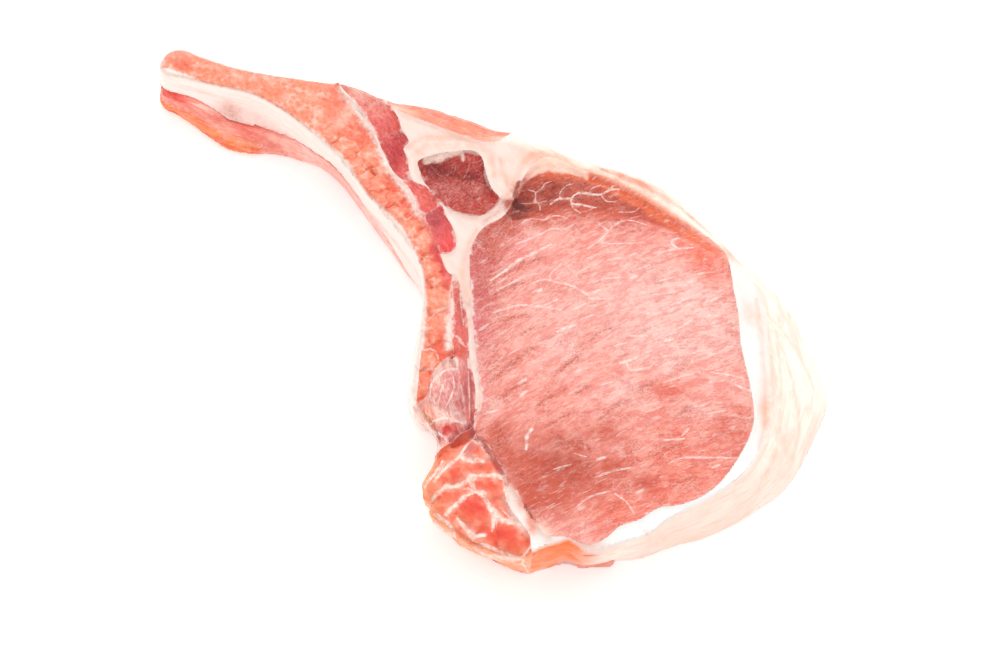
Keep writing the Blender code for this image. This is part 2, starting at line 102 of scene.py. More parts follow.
EYE_VEINS = (
    (0.5, ((0, 3.5), (4, 6.5), (7, 9), (10.5, 10.8), (14.5, 13.2))),
    (0.55, ((5, 7.4), (7.2, 9.2), (9.4, 10.2))),
    (0.36, ((9.5, 2.2), (13, 3.4), (17, 2.3), (20, 1.5), (24, -1.2), (24.5, -2), (30, -1.9))),
    (0.28, ((14.3, 3.3), (14.6, 5), (17, 7.5))),
    (0.38, ((0.5, -5.6), (3, -4.8), (7, -3.6), (12, -4), (16, -2.2))),
    (0.28, ((12, -4.2), (17, -4.9))),
    (0.6, ((16.5, -10.8), (18.6, -9.8), (20, -9.2))),
    (0.34, ((20, -4.8), (23, -3.4))),
    (0.26, ((21, 5), (24.5, 7.2), (26, 7.6))),
    (0.32, ((24, 12.2), (27.5, 15), (30.5, 18.5), (34, 20.2), (38.5, 18.9))),
    (0.26, ((27, 19), (29, 17.3))),
    (0.26, ((27.5, 13.8), (31, 13.4), (38, 13.8))),
    (0.34, ((40.5, 10.6), (46, 12), (50, 12.4))),
    (0.45, ((46.4, 15), (45.4, 14.6), (45, 13.4), (46, 12.6))),
    (0.28, ((9.4, 30.2), (11, 29.4), (10.9, 27), (12, 25.8), (12.1, 23.8))),
    (0.2, ((11.2, 29.6), (12.6, 30.4), (13.4, 31.8), (15, 32.4))),
    (0.2, ((7.2, 26), (9.6, 26.5), (11.8, 26.3), (13.6, 26.6))),
    (0.43, ((15, 25.6), (16.8, 27), (19.8, 27.2), (21.6, 28.8), (24.6, 28.7), (27.6, 28.4),
            (29.6, 29.6), (31.8, 29.8))),
    (0.2, ((17, 27.4), (17.4, 29.4), (19, 31.2), (20.6, 31.6))),
    (0.3, ((27.6, 28.2), (29, 26.4), (31, 26.2))),
    (0.42, ((19.9, 27), (20.4, 25.4), (22.8, 25), (25.8, 24.2))),
    (0.26, ((19.8, 25.6), (20.6, 23.8), (22.2, 22.4))),
    (0.24, ((24.4, 28.6), (25.6, 30.4), (27.4, 31))),
    (0.26, ((32, 22.8), (35.5, 23), (37, 24.2))),
    (0.26, ((7, 19), (10, 20.6), (13, 20.2), (16, 21.6), (19, 20.6))),
    (0.26, ((12, 16), (15, 17.8), (18, 17.6), (21, 19.4))),
    (0.26, ((6, 13.4), (9, 14.6), (12, 16.4))),
    (0.3, ((41, 2.8), (45, 4))),
    (0.3, ((46, 1.6), (48, 1.8))),
    (0.26, ((40, -0.8), (44, -0.3))),
    (0.3, ((44.5, -3.6), (48, -2), (51, -0.6))),
    (0.3, ((52.5, -3), (57, -1.4))),
    (0.34, ((46, -10), (49, -8))),
    (0.36, ((34, -12.2), (38, -12.2))),
    (0.26, ((30, -14.8), (33, -14))),
    (0.5, ((42.5, -13.6), (44, -13.2))),
    (0.26, ((44, -15.2), (48.5, -15.1))),
    (0.3, ((48.5, -17), (51, -16.2))),
    (0.26, ((57, -15.4), (59, -15))),
    (0.32, ((54, -8.8), (55.2, -8.2))),
    (0.45, ((31.5, -19.5), (33.4, -19), (35, -18.2))),
    (0.34, ((33, -20), (34, -21.5), (38, -20.8))),
    (0.34, ((53.5, -22), (57, -22.6), (61, -23.5))),
    (0.4, ((59.5, -25.5), (62.5, -27))),
    (0.28, ((42, -24.7), (46, -23.2), (49, -22.3))),
    (0.32, ((46, -38.5), (47.5, -37))),
    (0.3, ((41, -40), (46, -39.6))),
    (0.3, ((42.5, -46), (46, -44.6), (55, -44.5), (59, -44.8))),
    (0.4, ((53, -47), (54.2, -46.5))),
    (0.3, ((25, -49.5), (29, -48), (33, -47.2))),
    (0.28, ((-2, -33), (1.5, -32))),
    (0.55, ((8.3, -42), (8.5, -39), (9.5, -37.3))),
    (0.28, ((15, -47.5), (19, -46.3))),
    (0.26, ((20, -43.5), (22.5, -44.2))),
    (0.28, ((20, -57.5), (23, -54.7), (27, -53.5))),
    (0.3, ((29.5, -54), (32, -56), (33.8, -59))),
    (0.75, ((11, 0.2), (11.6, 0.4))),
    (0.3, ((1, 0.4), (5, 2.6), (8, 4.4), (11, 5))),
    (0.26, ((22, -7.6), (25, -6.4))),
    (0.26, ((25, 2.6), (29, 3.8), (33, 4))),
    (0.26, ((29, 9), (33, 9.6))),
    (0.26, ((35, 5.8), (39, 7.4))),
    (0.26, ((50, 4.6), (54, 5.4))),
    (0.26, ((26, -25.6), (29.6, -24.4))),
    (0.26, ((37, -32.6), (41, -31.2))),
    (0.26, ((52, -33.2), (56.4, -32.2))),
)
EYE_CRACKS = (
    (0.45, ((5, -20), (7.4, -17.6), (9.6, -15.6))),
    (0.4, ((-1, -25), (1, -23), (3.4, -20.8))),
    (0.4, ((2, -29), (5, -26.6), (8.4, -24.6))),
    (0.5, ((3.4, 5), (6.4, 6.8), (10.4, 8.8), (13, 9.6))),
    (0.4, ((1.2, -0.6), (5, 1.6), (8.6, 2.8))),
    (0.4, ((2, -8.2), (5, -7.2), (8.4, -6.2))),
    (0.36, ((16, -22), (19, -19.4), (21.6, -17.4))),
    (0.36, ((11, -31), (14, -28.6), (18, -26.4))),
    (0.34, ((24, -13.4), (27, -11), (29.4, -9.8))),
    (0.34, ((26, -34.6), (29.6, -31.4), (33, -29.4))),
    (0.34, ((36, -26.6), (40, -24.4))),
    (0.34, ((6.4, -12), (9.4, -10.4), (13, -9.6))),
    (0.3, ((20, -28), (24, -25.6))),
    (0.3, ((13, -36.6), (17, -34), (20.6, -32.6))),
    (0.3, ((38, -44.6), (43, -42), (46, -41.2))),
    (0.3, ((44, -34), (48, -31.4))),
    (0.34, ((14.6, -38), (18, -40.6), (22, -40.8), (23.4, -42.8))),
    (0.3, ((28, -58.6), (30, -56))),
    (0.3, ((45, -51), (48.6, -49.4))),
    (0.55, ((-4.4, -38.8), (-2.5, -40), (-1, -42), (0, -44), (1.5, -46.5), (3, -49), (4, -51.6))),
    (0.5, ((7.2, -56.4), (8.6, -58.4), (10, -60.6))),
    (0.6, ((4.2, 22), (4.6, 24.6), (5.8, 27))),
)

CHINE_MEMBRANES = (
    (0.5, ((-13.4, -50.4), (-12, -48.3), (-10.2, -46.3), (-7.6, -43.6), (-6, -40.8), (-4.2, -38.8))),
    (0.9, ((-7.4, -43.9), (-5.6, -44.7), (-2.8, -45.3))),
    (0.6, ((-4.1, -39.6), (-2.5, -40.6))),
    (0.45, ((-2.2, -41.6), (-1.2, -43.2))),
    (0.7, ((-14, -54.4), (-12.6, -53.4), (-10.8, -51.5), (-9.2, -51.8), (-6, -50.4), (-4.9, -49.2),
           (-1.1, -48.9), (2.6, -49.6))),
    (0.7, ((-4.8, -49.6), (-4.5, -51.6), (-3.6, -53))),
    (1, ((-0.4, -48.8), (2.2, -49))),
    (0.9, ((-10.4, -58.6), (-9, -57), (-6.7, -54.6), (-3.8, -53), (-2, -54), (-0.6, -56.5),
           (0.8, -58.4), (3, -60.3), (5.3, -60.8), (8, -61.8), (9.4, -63.4))),
    (0.45, ((0.3, -58.2), (0.5, -60.4), (0.2, -62.6))),
    (0.75, ((-7.6, -60.6), (-6, -62.4), (-4.2, -64.4), (-1.9, -64.2))),
    (0.45, ((-9, -65.6), (-5.6, -67.1), (-2.4, -66.6), (-0.1, -67.1), (2.6, -68.1), (5.3, -69),
            (7.1, -69), (9.4, -67.1))),
    (1.3, ((3.4, -51.4), (4.4, -55), (6.4, -58.8), (9, -62.6))),
    (0.6, ((-15.6, -51), (-13.4, -48.2), (-12, -45.8))),
    (0.5, ((-13.4, -58.4), (-10, -61.4), (-8, -65.4))),
)
CHINE_LOBES = (
    (-11.6, -47.4, 2.6), (-14.3, -51.5, 2.6), (-7, -48.4, 2.2), (-1.1, -51.8, 3), (-4.7, -57.3, 2.8),
    (-3.7, -60.6, 2.2), (2.6, -53.4, 1.6), (4.8, -64.6, 3), (-11, -56.6, 2.6), (-9.6, -61.6, 2.2),
    (-1.9, -66.2, 2.2), (-6.8, -65.4, 2), (-2.4, -44.4, 1.8),
)
JOINT_CREASES = (
    (0.55, ((-5, -33), (-5, -36), (-8, -37.4), (-10, -40))),
    (0.6, ((-9.6, -41.2), (-6, -39.4), (-4, -37.8))),
    (0.5, ((-4.5, -38.8), (-2.5, -40), (-1, -42), (0, -44), (1.5, -46.5), (3, -49), (3.5, -51.5))),
    (0.45, ((7.8, -57), (8.6, -58.6), (9.6, -60))),
    (0.45, ((-17, -52.8), (-14.4, -54.6), (-12.4, -54.8))),
)
CAPSULE_ARCS = (
    (0.42, ((-15, -28), (-14.6, -25), (-12.8, -22.4), (-10.5, -20.9), (-8.1, -21.4), (-7.7, -22.9))),
    (0.3, ((-9.4, -23.4), (-9.2, -26), (-9.9, -28.6), (-11, -31))),
    (0.26, ((-12.9, -30), (-12.2, -26.6), (-11.2, -23.6))),
    (0.42, ((-14.5, -34.9), (-11.3, -33.9), (-8.5, -34.9), (-6.6, -35.4))),
    (0.4, ((-16, -36.4), (-13, -37.6), (-11, -39.6))),
)
SEAM_LINES = (
    (0.24, ((-5.7, -21.9), (-5.6, -25), (-5.4, -29), (-5.4, -34.1))),
    (0.42, ((-9.2, -12), (-8.2, -12.6), (-7.6, -13.8), (-6.5, -15))),
    (0.3, ((-9.8, 2), (-9.6, -3), (-9.4, -9))),
    (0.24, ((-8, 1), (-7.6, -4), (-7, -9))),
)
SMALL_VEINS = (
    (0.18, ((-9.8, 38), (-9.4, 35.6), (-9.9, 34))),
    (0.24, ((-6.4, 39), (-5.7, 37.2), (-6.3, 35.2), (-7.2, 33))),
    (0.2, ((-5.7, 37.2), (-3.7, 37.4), (-1.8, 37.4))),
    (0.2, ((-6, 39.6), (-4.4, 40.4), (-2.6, 39.8), (-2.2, 38.2), (-3.7, 37.4))),
    (0.2, ((-15.4, 36.2), (-13.6, 33.8), (-12, 33))),
    (0.18, ((-10.4, 29.6), (-9, 30.2), (-7.6, 29.8))),
    (0.18, ((-8.6, 31.2), (-7.4, 30.6))),
    (0.16, ((-6.4, 30.4), (-6, 28.2), (-3.8, 27.2))),
    (0.18, ((-8.2, 25.2), (-7.2, 24.8), (-6.4, 25.4))),
    (0.16, ((-13.4, 29.4), (-11.6, 28.4), (-10.2, 27))),
)
RIB_LINES = (
    (0.36, ((-15.5, -7.5), (-13.8, -5.4), (-12.5, -4.5), (-10.5, -4))),
    (0.34, ((-17, -21.5), (-15.6, -20.8), (-14, -21))),
    (0.34, ((-17.4, -16), (-15, -15), (-13.4, -16.6), (-13, -19))),
    (0.26, ((-24.6, 20.4), (-22, 20.6), (-19.8, 22.4))),
    (0.24, ((-17.8, 10.4), (-15.4, 10.2), (-14.2, 11.6))),
    (0.24, ((-28.4, 24.6), (-26, 23.8), (-24, 25.4))),
)
RIB_LOBES = (
    (-41.5, 45.8, 1.6), (-37.5, 41.4, 2.4), (-34.5, 36.6, 2), (-32.6, 31.9, 2.1), (-29.2, 31, 2),
    (-28.2, 26.6, 1.9), (-24.9, 26.6, 1.8), (-24, 22.2, 1.9), (-21, 18, 2.1), (-17.3, 14.5, 2.5),
    (-19, 11.4, 1.3), (-15.7, 6.8, 2.2), (-13, 3.6, 1.8), (-13.7, -2, 2.8), (-13, -9.6, 2.8),
    (-16, -18.6, 2), (-16.2, -25, 2.3), (-31.4, 39, 2.4), (-27.6, 35.6, 1.8),
)
SPONGE_PATCHES = (
    (-58.5, 62.5, 2.4, 1), (-37, 52.5, 2.4, 5), (-47, 57, 2, 1.6), (-66, 62.6, 1.8, 0.9),
    (-52.6, 56, 1.4, 1.2), (-44.6, 51.6, 1.8, 1.4), (-71, 64.8, 1.6, 0.7),
)

FIELD_BANDS = (
    (0.9, ((-20, 39), (-18.4, 41), (-16, 42), (-12, 41.8), (-8, 41.8), (-4.4, 41.6), (-1.4, 39.8),
           (-0.2, 36.6), (0.4, 33.4))),
    (0.7, ((-21.4, 41.4), (-18, 44), (-12, 44), (-6, 43.4))),
    (0.6, ((1.8, 38), (2.6, 34), (3.6, 30.4))),
    (0.6, ((5.2, 28.6), (6.4, 33.6), (9, 38.2), (13, 40.6))),
    (0.5, ((-4, 17.6), (-6.6, 12), (-7.6, 6), (-6.6, -2), (-5.6, -12))),
)
CAP_CREASE = (
    (61, 8), (65.4, -2), (66, -12), (66.2, -22), (66, -34), (64, -42), (60, -50), (54.4, -57),
    (46.6, -61.6), (38.6, -65), (28, -67.2),
)
FAT_LUMPS = (
    (-16.4, 40.6, 2.2), (-12.6, 41.6, 2), (-8.6, 41.2, 2), (-4.8, 40.4, 2), (-1.8, 38.6, 1.8),
    (0.6, 34.8, 1.8),
)
ORANGE_EDGE = (
    (6.6, -69.6), (8.9, -68.2), (12, -66.9), (15.2, -65.7), (18.1, -65), (19.7, -66.1), (22.4, -67.8),
    (24.4, -69.8),
)
CAP_STREAKS = (
    (0.55, ((65.4, -2), (66, -12), (66.2, -22), (66, -34), (65.2, -38), (64, -42))),
    (0.35, ((68, -10), (68.6, -20), (68.4, -30))),
    (0.35, ((70.4, -14), (70.8, -24), (70, -36))),
    (0.5, ((68, -5.6), (71.6, -8.4), (75, -12), (78, -16.6), (80, -21))),
    (0.4, ((74, -9), (76, -12.6), (79.6, -18))),
    (0.45, ((74, -24), (75.4, -32), (73.6, -40))),
    (0.45, ((69, -40), (66, -47), (61, -54))),
    (0.4, ((58, -55.4), (52, -59.6), (47, -62))),
    (0.45, ((36, -63.4), (40.6, -65.6), (43.4, -61.6))),
)


# ---------------------------------------------------------------------------------------------------- fields

def rounded_line(points, steps=3):
    """The same line with its corners rounded, as a curve through its points."""
    points = np.array(points, float)
    if len(points) < 3:
        return points
    ends = [points[0], *points, points[-1]]
    out = []
    for a, b, c, d in zip(ends, ends[1:], ends[2:], ends[3:]):
        for t in np.arange(steps) / steps:
            curve = 2 * b + (c - a) * t + (2 * a - 5 * b + 4 * c - d) * t ** 2
            out.append((curve + (3 * b - a - 3 * c + d) * t ** 3) / 2)
    out.append(points[-1])
    return np.array(out)


def near_line(xy, points, reach=np.inf):
    """(offset to the line's left, distance, share of the way along) from the nearest place on a line.

    Points further than reach from the line are left at FAR_AWAY.
    """
    line = np.array(points, float)
    lengths = np.hypot(*np.diff(line, axis=0).T)
    run = np.concatenate([[0.0], np.cumsum(lengths)])
    side = np.full(len(xy), FAR_AWAY)
    best = np.full(len(xy), FAR_AWAY)
    along = np.zeros(len(xy))
    for index, (start, end) in enumerate(zip(line, line[1:])):
        low = np.minimum(start, end) - reach
        high = np.maximum(start, end) + reach
        close = np.flatnonzero(((xy > low) & (xy < high)).all(axis=1))
        step = end - start
        part = xy[close] - start
        share = np.clip(part @ step / (step @ step), 0.0, 1.0)
        rest = part - share[:, None] * step
        distance = np.hypot(*rest.T)
        nearer = distance < best[close]
        chosen = close[nearer]
        best[chosen] = distance[nearer]
        cross = (step[0] * part[nearer, 1] - step[1] * part[nearer, 0]) / lengths[index]
        side[chosen] = cross
        along[chosen] = (run[index] + share[nearer] * lengths[index]) / run[-1]
    return side, best, along


def strand_field(xy, strands):
    """For each point (offset, distance, strength) from the nearest strand, the first two in half widths."""
    field = np.zeros((len(xy), 3))
    field[:, :2] = 9.0
    for half_width, points in strands:
        side, distance, along = near_line(xy, rounded_line(points), reach=9.0 * half_width)
        width = half_width * (0.45 + 0.55 * np.sqrt(np.sin(math.pi * np.clip(along, 0.02, 0.98))))
        nearer = distance / width < field[:, 1]
        field[nearer, 0] = (side / width)[nearer]
        field[nearer, 1] = (distance / width)[nearer]
        field[nearer, 2] = min(1.0, 0.4 + 1.3 * half_width)
    return field


def smooth(value, low, high):
    """An eased step from 0 at low to 1 at high."""
    share = np.clip((value - low) / (high - low), 0.0, 1.0)
    return share * share * (3.0 - 2.0 * share)


def bell(distance):
    """1 at no distance, with a soft fall to almost nothing at 2."""
    return np.exp(-np.square(distance))


def spot(xy, x, y, wide, deep=None, turn=0.0):
    """A soft round or oval spot, 1 at its middle."""
    angle = math.radians(turn)
    dx = xy[:, 0] - x
    dy = xy[:, 1] - y
    across = dx * math.cos(angle) + dy * math.sin(angle)
    up = dy * math.cos(angle) - dx * math.sin(angle)
    return bell(np.hypot(across / wide, up / (deep or wide)))


def patches(xy, *spots):
    """The sum of spots, each (strength, x, y, wide, deep, turn)."""
    return sum(strength * spot(xy, *place) for strength, *place in spots)


def stripe(xy, points, half_width):
    """A soft stripe along a line, 1 along its middle."""
    return bell(near_line(xy, rounded_line(points), reach=4 * half_width)[1] / half_width)


def inside(xy, outline):
    """Whether each point lies inside a closed outline."""
    found = np.zeros(len(xy), bool)
    for (x0, y0), (x1, y1) in zip(outline, outline[1:] + outline[:1]):
        if y0 == y1:
            continue
        crosses = (xy[:, 1] > y0) != (xy[:, 1] > y1)
        found ^= crosses & (xy[:, 0] < x0 + (xy[:, 1] - y0) * (x1 - x0) / (y1 - y0))
    return found


def run_along(points):
    """Coordinates along and across a line, for grain that follows it."""
    line = rounded_line(points)
    length = np.hypot(*np.diff(line, axis=0).T).sum()

    def run(xy, heights):
        side, _, along = near_line(xy, line)
        return np.stack([along * length, side, heights], 1)
    return run


def run_straight(turn):
    """Coordinates along and across straight grain, turned by so many degrees."""
    angle = math.radians(turn)

    def run(xy, heights):
        x, y = xy.T
        along = x * math.cos(angle) + y * math.sin(angle)
        across = y * math.cos(angle) - x * math.sin(angle)
        return np.stack([along, across, heights], 1)
    return run


def run_of_eye(xy, heights):
    """The grain of the eye climbs to the right and levels out there."""
    x = xy[:, 0] + 5.0
    return np.stack([1.1 * x, xy[:, 1] - 0.66 * x + 0.0036 * x ** 2, heights], 1)


def sunk_share(xy):
    """How far from the far rim (0) to the near edge (1) of the sunk band a point lies; 1 outside the band."""
    side, rim, _ = near_line(xy, FAR_RIM)
    edge = near_line(xy, SUNK_EDGE)[1]
    share = rim / (rim + edge + 1e-6)
    share[~inside(xy, FAR_RIM + SUNK_EDGE[::-1] + ((-4.0, 17.0), (-2.0, 23.0)))] = 1.0
    share[(side > 0.0) & (rim < 1.2)] = 0.0
    return share


def rim_slope(xy):
    """0 at the far rim and 1 at the foot of the slope down from it, which is widest under the cap of fat."""
    width = np.interp(xy[:, 0], (4.0, 8.5, 10.0, 12.7, 15.8, 18.0, 20.0, 23.0, 26.0, 34.0, 60.0),
                      (0.3, 0.4, 1.0, 2.7, 3.8, 2.9, 1.9, 1.3, 1.8, 2.4, 2.6))
    side, rim, _ = near_line(xy, FAR_RIM)
    return np.where(side > 0.0, 0.0, rim / (width + 1.6 * spot(xy, 24.2, 33.4, 0.7, 1.2)))


def sunk_strength(xy):
    """The band is deepest on the left and runs out at the right."""
    return np.interp(xy[:, 0], (3.6, 8.4, 26.0, 40.0, 50.0, 58.0), (0.0, 1.0, 0.85, 0.6, 0.3, 0.0))


def domes(xy, lobes):
    """The height, 0 to 1, of the highest uneven lobe at each point."""
    return lobes_and_creases(xy, lobes)[0]


def lobes_and_creases(xy, lobes, spread=1.25):
    """The height of the highest lobe, 0 to 1, and the creases where two lobes meet, 1 along each.

    A lobe is (x, y, radius).
    """
    x, y = xy.T
    bent = np.stack([x + 0.5 * np.sin(1.9 * y + 0.7 * x), y + 0.5 * np.sin(1.6 * x - 0.8 * y + 1.1)], 1)
    height = np.zeros(len(xy))
    second = np.zeros(len(xy))
    for middle_x, middle_y, radius in lobes:
        away = np.hypot(bent[:, 0] - middle_x, bent[:, 1] - middle_y) / (radius * spread)
        lobe = np.sqrt(np.clip(1.0 - away ** 2, 0.0, 1.0))
        second = np.maximum(second, np.minimum(height, lobe))
        height = np.maximum(height, lobe)
    return height, bell((height - second) / 0.16) * (height > 0.05)


# ---------------------------------------------------------------------------------------------------- meshes

def make_active(piece):
    """Makes the piece the one selected and active object."""
    bpy.ops.object.select_all(action="DESELECT")
    piece.select_set(True)
    bpy.context.view_layer.objects.active = piece


def copy_of_node(node, name):
    """The node's solid as a piece of its own, its loose triangles welded."""
    piece = bpy.data.objects.new(name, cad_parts[node].data.copy())
    piece.data.name = name
    piece.data.materials.clear()
    bpy.context.collection.objects.link(piece)
    make_active(piece)
    bpy.ops.object.mode_set(mode="EDIT")
    bpy.ops.mesh.select_all(action="SELECT")
    bpy.ops.mesh.remove_doubles(threshold=WELD)
    bpy.ops.object.mode_set(mode="OBJECT")
    return piece


def others_than(node):
    """The faces of every solid but this one."""
    return tree_of(sorted(set(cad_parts) - {node}))


def meet_neighbours(node, piece):
    """Moves the walls that stand a gap away from another piece half way across it."""
    others = others_than(node)
    points = points_of(piece)
    for point in points:
        place = Vector((point[0] + SHIFT[0], point[1] + SHIFT[1], min(point[2] + 1.0, THICKNESS - 1.0))) * MM
        beside = others.find_nearest(place, 1.6 * GAP * MM)
        if beside[0] is not None:
            point[:2] += np.array((beside[0] - place)[:2]) / MM / 2
    place_points(piece, points)


def cut_into_quads(piece, size):
    """Even small faces all over, so that the surface can be shaped."""
    make_active(piece)
    quads = piece.modifiers.new("even quads", "REMESH")
    quads.mode = "VOXEL"
    quads.voxel_size = size * MM
    quads.use_smooth_shade = True
    bpy.ops.object.modifier_apply(modifier=quads.name)


def halve_top_faces(piece):
    """Faces half as large on the upper cut face, where the fine marbling is."""
    make_active(piece)
    bpy.ops.object.mode_set(mode="EDIT")
    bpy.ops.mesh.select_all(action="DESELECT")
    bpy.ops.object.mode_set(mode="OBJECT")
    level = (THICKNESS - 0.7) * MM
    for face in piece.data.polygons:
        face.select = face.center.z > level
    bpy.ops.object.mode_set(mode="EDIT")
    bpy.ops.mesh.select_mode(type="FACE")
    bpy.ops.mesh.subdivide(number_cuts=1)
    bpy.ops.object.mode_set(mode="OBJECT")


def points_of(piece):
    """Where the piece's points lie in the drawing."""
    flat = np.empty(len(piece.data.vertices) * 3, np.float32)
    piece.data.vertices.foreach_get("co", flat)
    return flat.reshape(-1, 3).astype(float) / MM - SHIFT


def normals_of(piece):
    """Which way the piece faces at each point."""
    flat = np.empty(len(piece.data.vertices) * 3, np.float32)
    piece.data.vertices.foreach_get("normal", flat)
    return flat.reshape(-1, 3).astype(float)


def place_points(piece, points):
    """Moves the piece's points to these places in the drawing."""
    piece.data.vertices.foreach_set("co", ((points + SHIFT) * MM).astype(np.float32).ravel())
    piece.data.update()


def tree_of(nodes):
    """All these nodes' faces, to measure distances to."""
    corners = []
    faces = []
    for node in nodes:
        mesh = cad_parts[node].data
        first = len(corners)
        corners += [vertex.co.copy() for vertex in mesh.vertices]
        faces += [[first + index for index in face.vertices] for face in mesh.polygons]
    return BVHTree.FromPolygons(corners, faces)


def distance_to(points, nodes, reach):
    """Level distance, in millimetres, from each point to the nearest wall of these nodes, at most reach."""
    tree = tree_of(nodes)
    level = THICKNESS / 2
    found = np.full(len(points), float(reach))
    for index, (x, y) in enumerate(points[:, :2]):
        place = Vector((x + SHIFT[0], y + SHIFT[1], level)) * MM
        hit = tree.find_nearest(place, reach * MM)
        if hit[0] is not None:
            found[index] = hit[3] / MM
    return found


def close_gaps(node, piece, points, normals):
    """Moves each wall that faces another piece to the middle of the gap between them.

    A point at a corner beside another piece moves most of the way towards it instead.
    Returns which points moved.
    """
    own = tree_of([node])
    others = others_than(node)
    level = np.hypot(normals[:, 0], normals[:, 1])
    shut = np.zeros(len(points), bool)
    moves = np.zeros((len(points), 2))
    back = 0.4  # how far inside the piece the search for its own wall starts
    across_reach = 1.7
    side_reach = 0.7
    wide_gap = (0.4, 0.7)  # between these widths a gap turns from closed to left open
    for index in np.flatnonzero(level > STEEP):
        away = Vector((normals[index, 0], normals[index, 1], 0.0)) / level[index]
        x, y, z = points[index] + SHIFT
        place = Vector((x, y, min(max(z, 0.4), THICKNESS - 0.5))) * MM
        wall = own.ray_cast(place - away * back * MM, away, 2 * back * MM)
        to_wall = 0.0 if wall[0] is None else wall[3] / MM - back
        start = place + away * (to_wall + 0.01) * MM
        hit = others.ray_cast(start, away, across_reach * MM)
        if hit[0] is not None:
            across = hit[3] / MM
            part = 0.5 + 0.15 * smooth(across, *wide_gap)
            moves[index] = np.array(away[:2]) * (to_wall + across * part + OVERLAP)
            shut[index] = True
            continue
        beside = others.find_nearest(start, side_reach * MM)
        if beside[0] is not None:
            sideways = np.array((beside[0] - start)[:2]) / MM
            near = 1.0 - smooth(beside[3] / MM, *wide_gap)
            moves[index] = near * (sideways * 0.7 + np.array(away[:2]) * to_wall)
            shut[index] = near > 0.5
    edges = np.empty(len(piece.data.edges) * 2, np.int32)
    piece.data.edges.foreach_get("vertices", edges)
    edges = edges.reshape(-1, 2)
    edges = edges[shut[edges].all(axis=1)]
    for _ in range(3):
        total = moves.copy()
        count = np.ones(len(points))
        for first, second in (edges.T, edges.T[::-1]):
            np.add.at(total, first, moves[second])
            np.add.at(count, first, 1.0)
        moves = total / count[:, None]
    points[:, :2] += moves
    return shut


def lay_flat(points, size):
    """Brings the points by the two cut faces onto them, so that the edges stay crisp."""
    heights = points[:, 2]
    heights[heights > THICKNESS - 0.6 * size] = THICKNESS
    heights[heights < 0.6 * size] = 0.0


def vertex_group(piece, name, weights):
    """Notes how strongly the group holds each point, in twentieths."""
    group = piece.vertex_groups.new(name=name)
    steps = np.round(weights * 20).astype(int)
    for step in range(1, 21):
        chosen = np.flatnonzero(steps == step)
        if len(chosen):
            group.add(chosen.tolist(), step / 20, "REPLACE")


# Stretches and turns the dents of the pieces whose grain runs one way
GRAIN_GUIDE = bpy.data.objects.new("grain guide", None)
bpy.context.collection.objects.link(GRAIN_GUIDE)
GRAIN_GUIDE.rotation_euler = (0.0, 0.0, math.radians(20.0))
GRAIN_GUIDE.scale = (3.2, 1.0, 1.0)


def roughen(piece, group, size, depth, direction="Z", along_grain=False):
    """Presses a random pattern, size across and depth deep, into the piece where the group says."""
    texture = bpy.data.textures.new(piece.name + " " + group, "CLOUDS")
    texture.noise_scale = size * MM
    texture.noise_depth = 2
    make_active(piece)
    dents = piece.modifiers.new("dents", "DISPLACE")
    dents.texture = texture
    dents.texture_coords = "OBJECT" if along_grain else "LOCAL"
    if along_grain:
        dents.texture_coords_object = GRAIN_GUIDE
    dents.direction = direction
    dents.vertex_group = group
    dents.mid_level = 1.0
    dents.strength = depth * MM
    bpy.ops.object.modifier_apply(modifier=dents.name)


def give_attribute(piece, name, values):
    """Stores a number or a vector for each point under a name that the material reads."""
    kind = "FLOAT" if values.ndim == 1 else "FLOAT_VECTOR"
    layer = piece.data.attributes.new(name, kind, "POINT")
    field = "value" if values.ndim == 1 else "vector"
    layer.data.foreach_set(field, values.astype(np.float32).ravel())


# -------------------------------------------------------------------------------- relief of each kind of cut
# Each function gives how many millimetres a piece's worked surface lies below the flat cut.

def common_relief(xy):
    """The part that pieces share, so that they meet: the sunk band and the creases at the joint."""
    side, rim, _ = near_line(xy, FAR_RIM)
    beyond = np.where(side > 0, bell(rim / 0.8), 1)
    share = np.where(side > 0, 0, sunk_share(xy))
    depth = (0.4 + 1.5 * smooth(rim_slope(xy), 0, 1)) * (1 - smooth(share, 0.4, 1)) * beyond
    depth += 0.8 * spot(xy, 8.8, 27.6, 2.6, 3.6) * (side < 0)
    depth = depth * sunk_strength(xy) * (xy[:, 1] > 7)
    creases = strand_field(xy, JOINT_CREASES)
    return 0.2 + depth + 1.1 * bell(creases[:, 1] / 1.1)


def eye_relief(xy):
    cracks = strand_field(xy, EYE_CRACKS)
    veins = strand_field(xy, EYE_VEINS)
    depth = 0.2 * bell(cracks[:, 1] / 1.4) - 0.08 * bell(veins[:, 1] / 1.2)
    swells = np.sin(xy[:, 0] * 0.21 + 0.6 * np.sin(xy[:, 1] * 0.17)) * np.sin(xy[:, 1] * 0.19 + 1.3)
    return depth + 0.15 * smooth(-xy[:, 0], -6, 2) + 0.16 * (1 + swells)


def small_relief(xy):
    veins = strand_field(xy, SMALL_VEINS)
    hollow = spot(xy, -8, 34, 9, 5)
    lobe = domes(xy, ((-4.4, 29.2, 2.4), (-12.6, 25.4, 2), (-9, 27.4, 1.8)))
    lumps = patches(xy, (1, -13.4, 38.4, 2, 1.4, 20), (0.8, -9.2, 39.8, 2.2, 0.9), (0.6, -4.2, 39, 1.6, 1))
    return 0.6 + 0.8 * hollow - 0.3 * bell(veins[:, 1] / 1.4) - 0.5 * lobe - 0.9 * lumps


def strip_relief(xy):
    return 0.25 + 0.35 * spot(xy, -25, 40, 3, 9, -20)


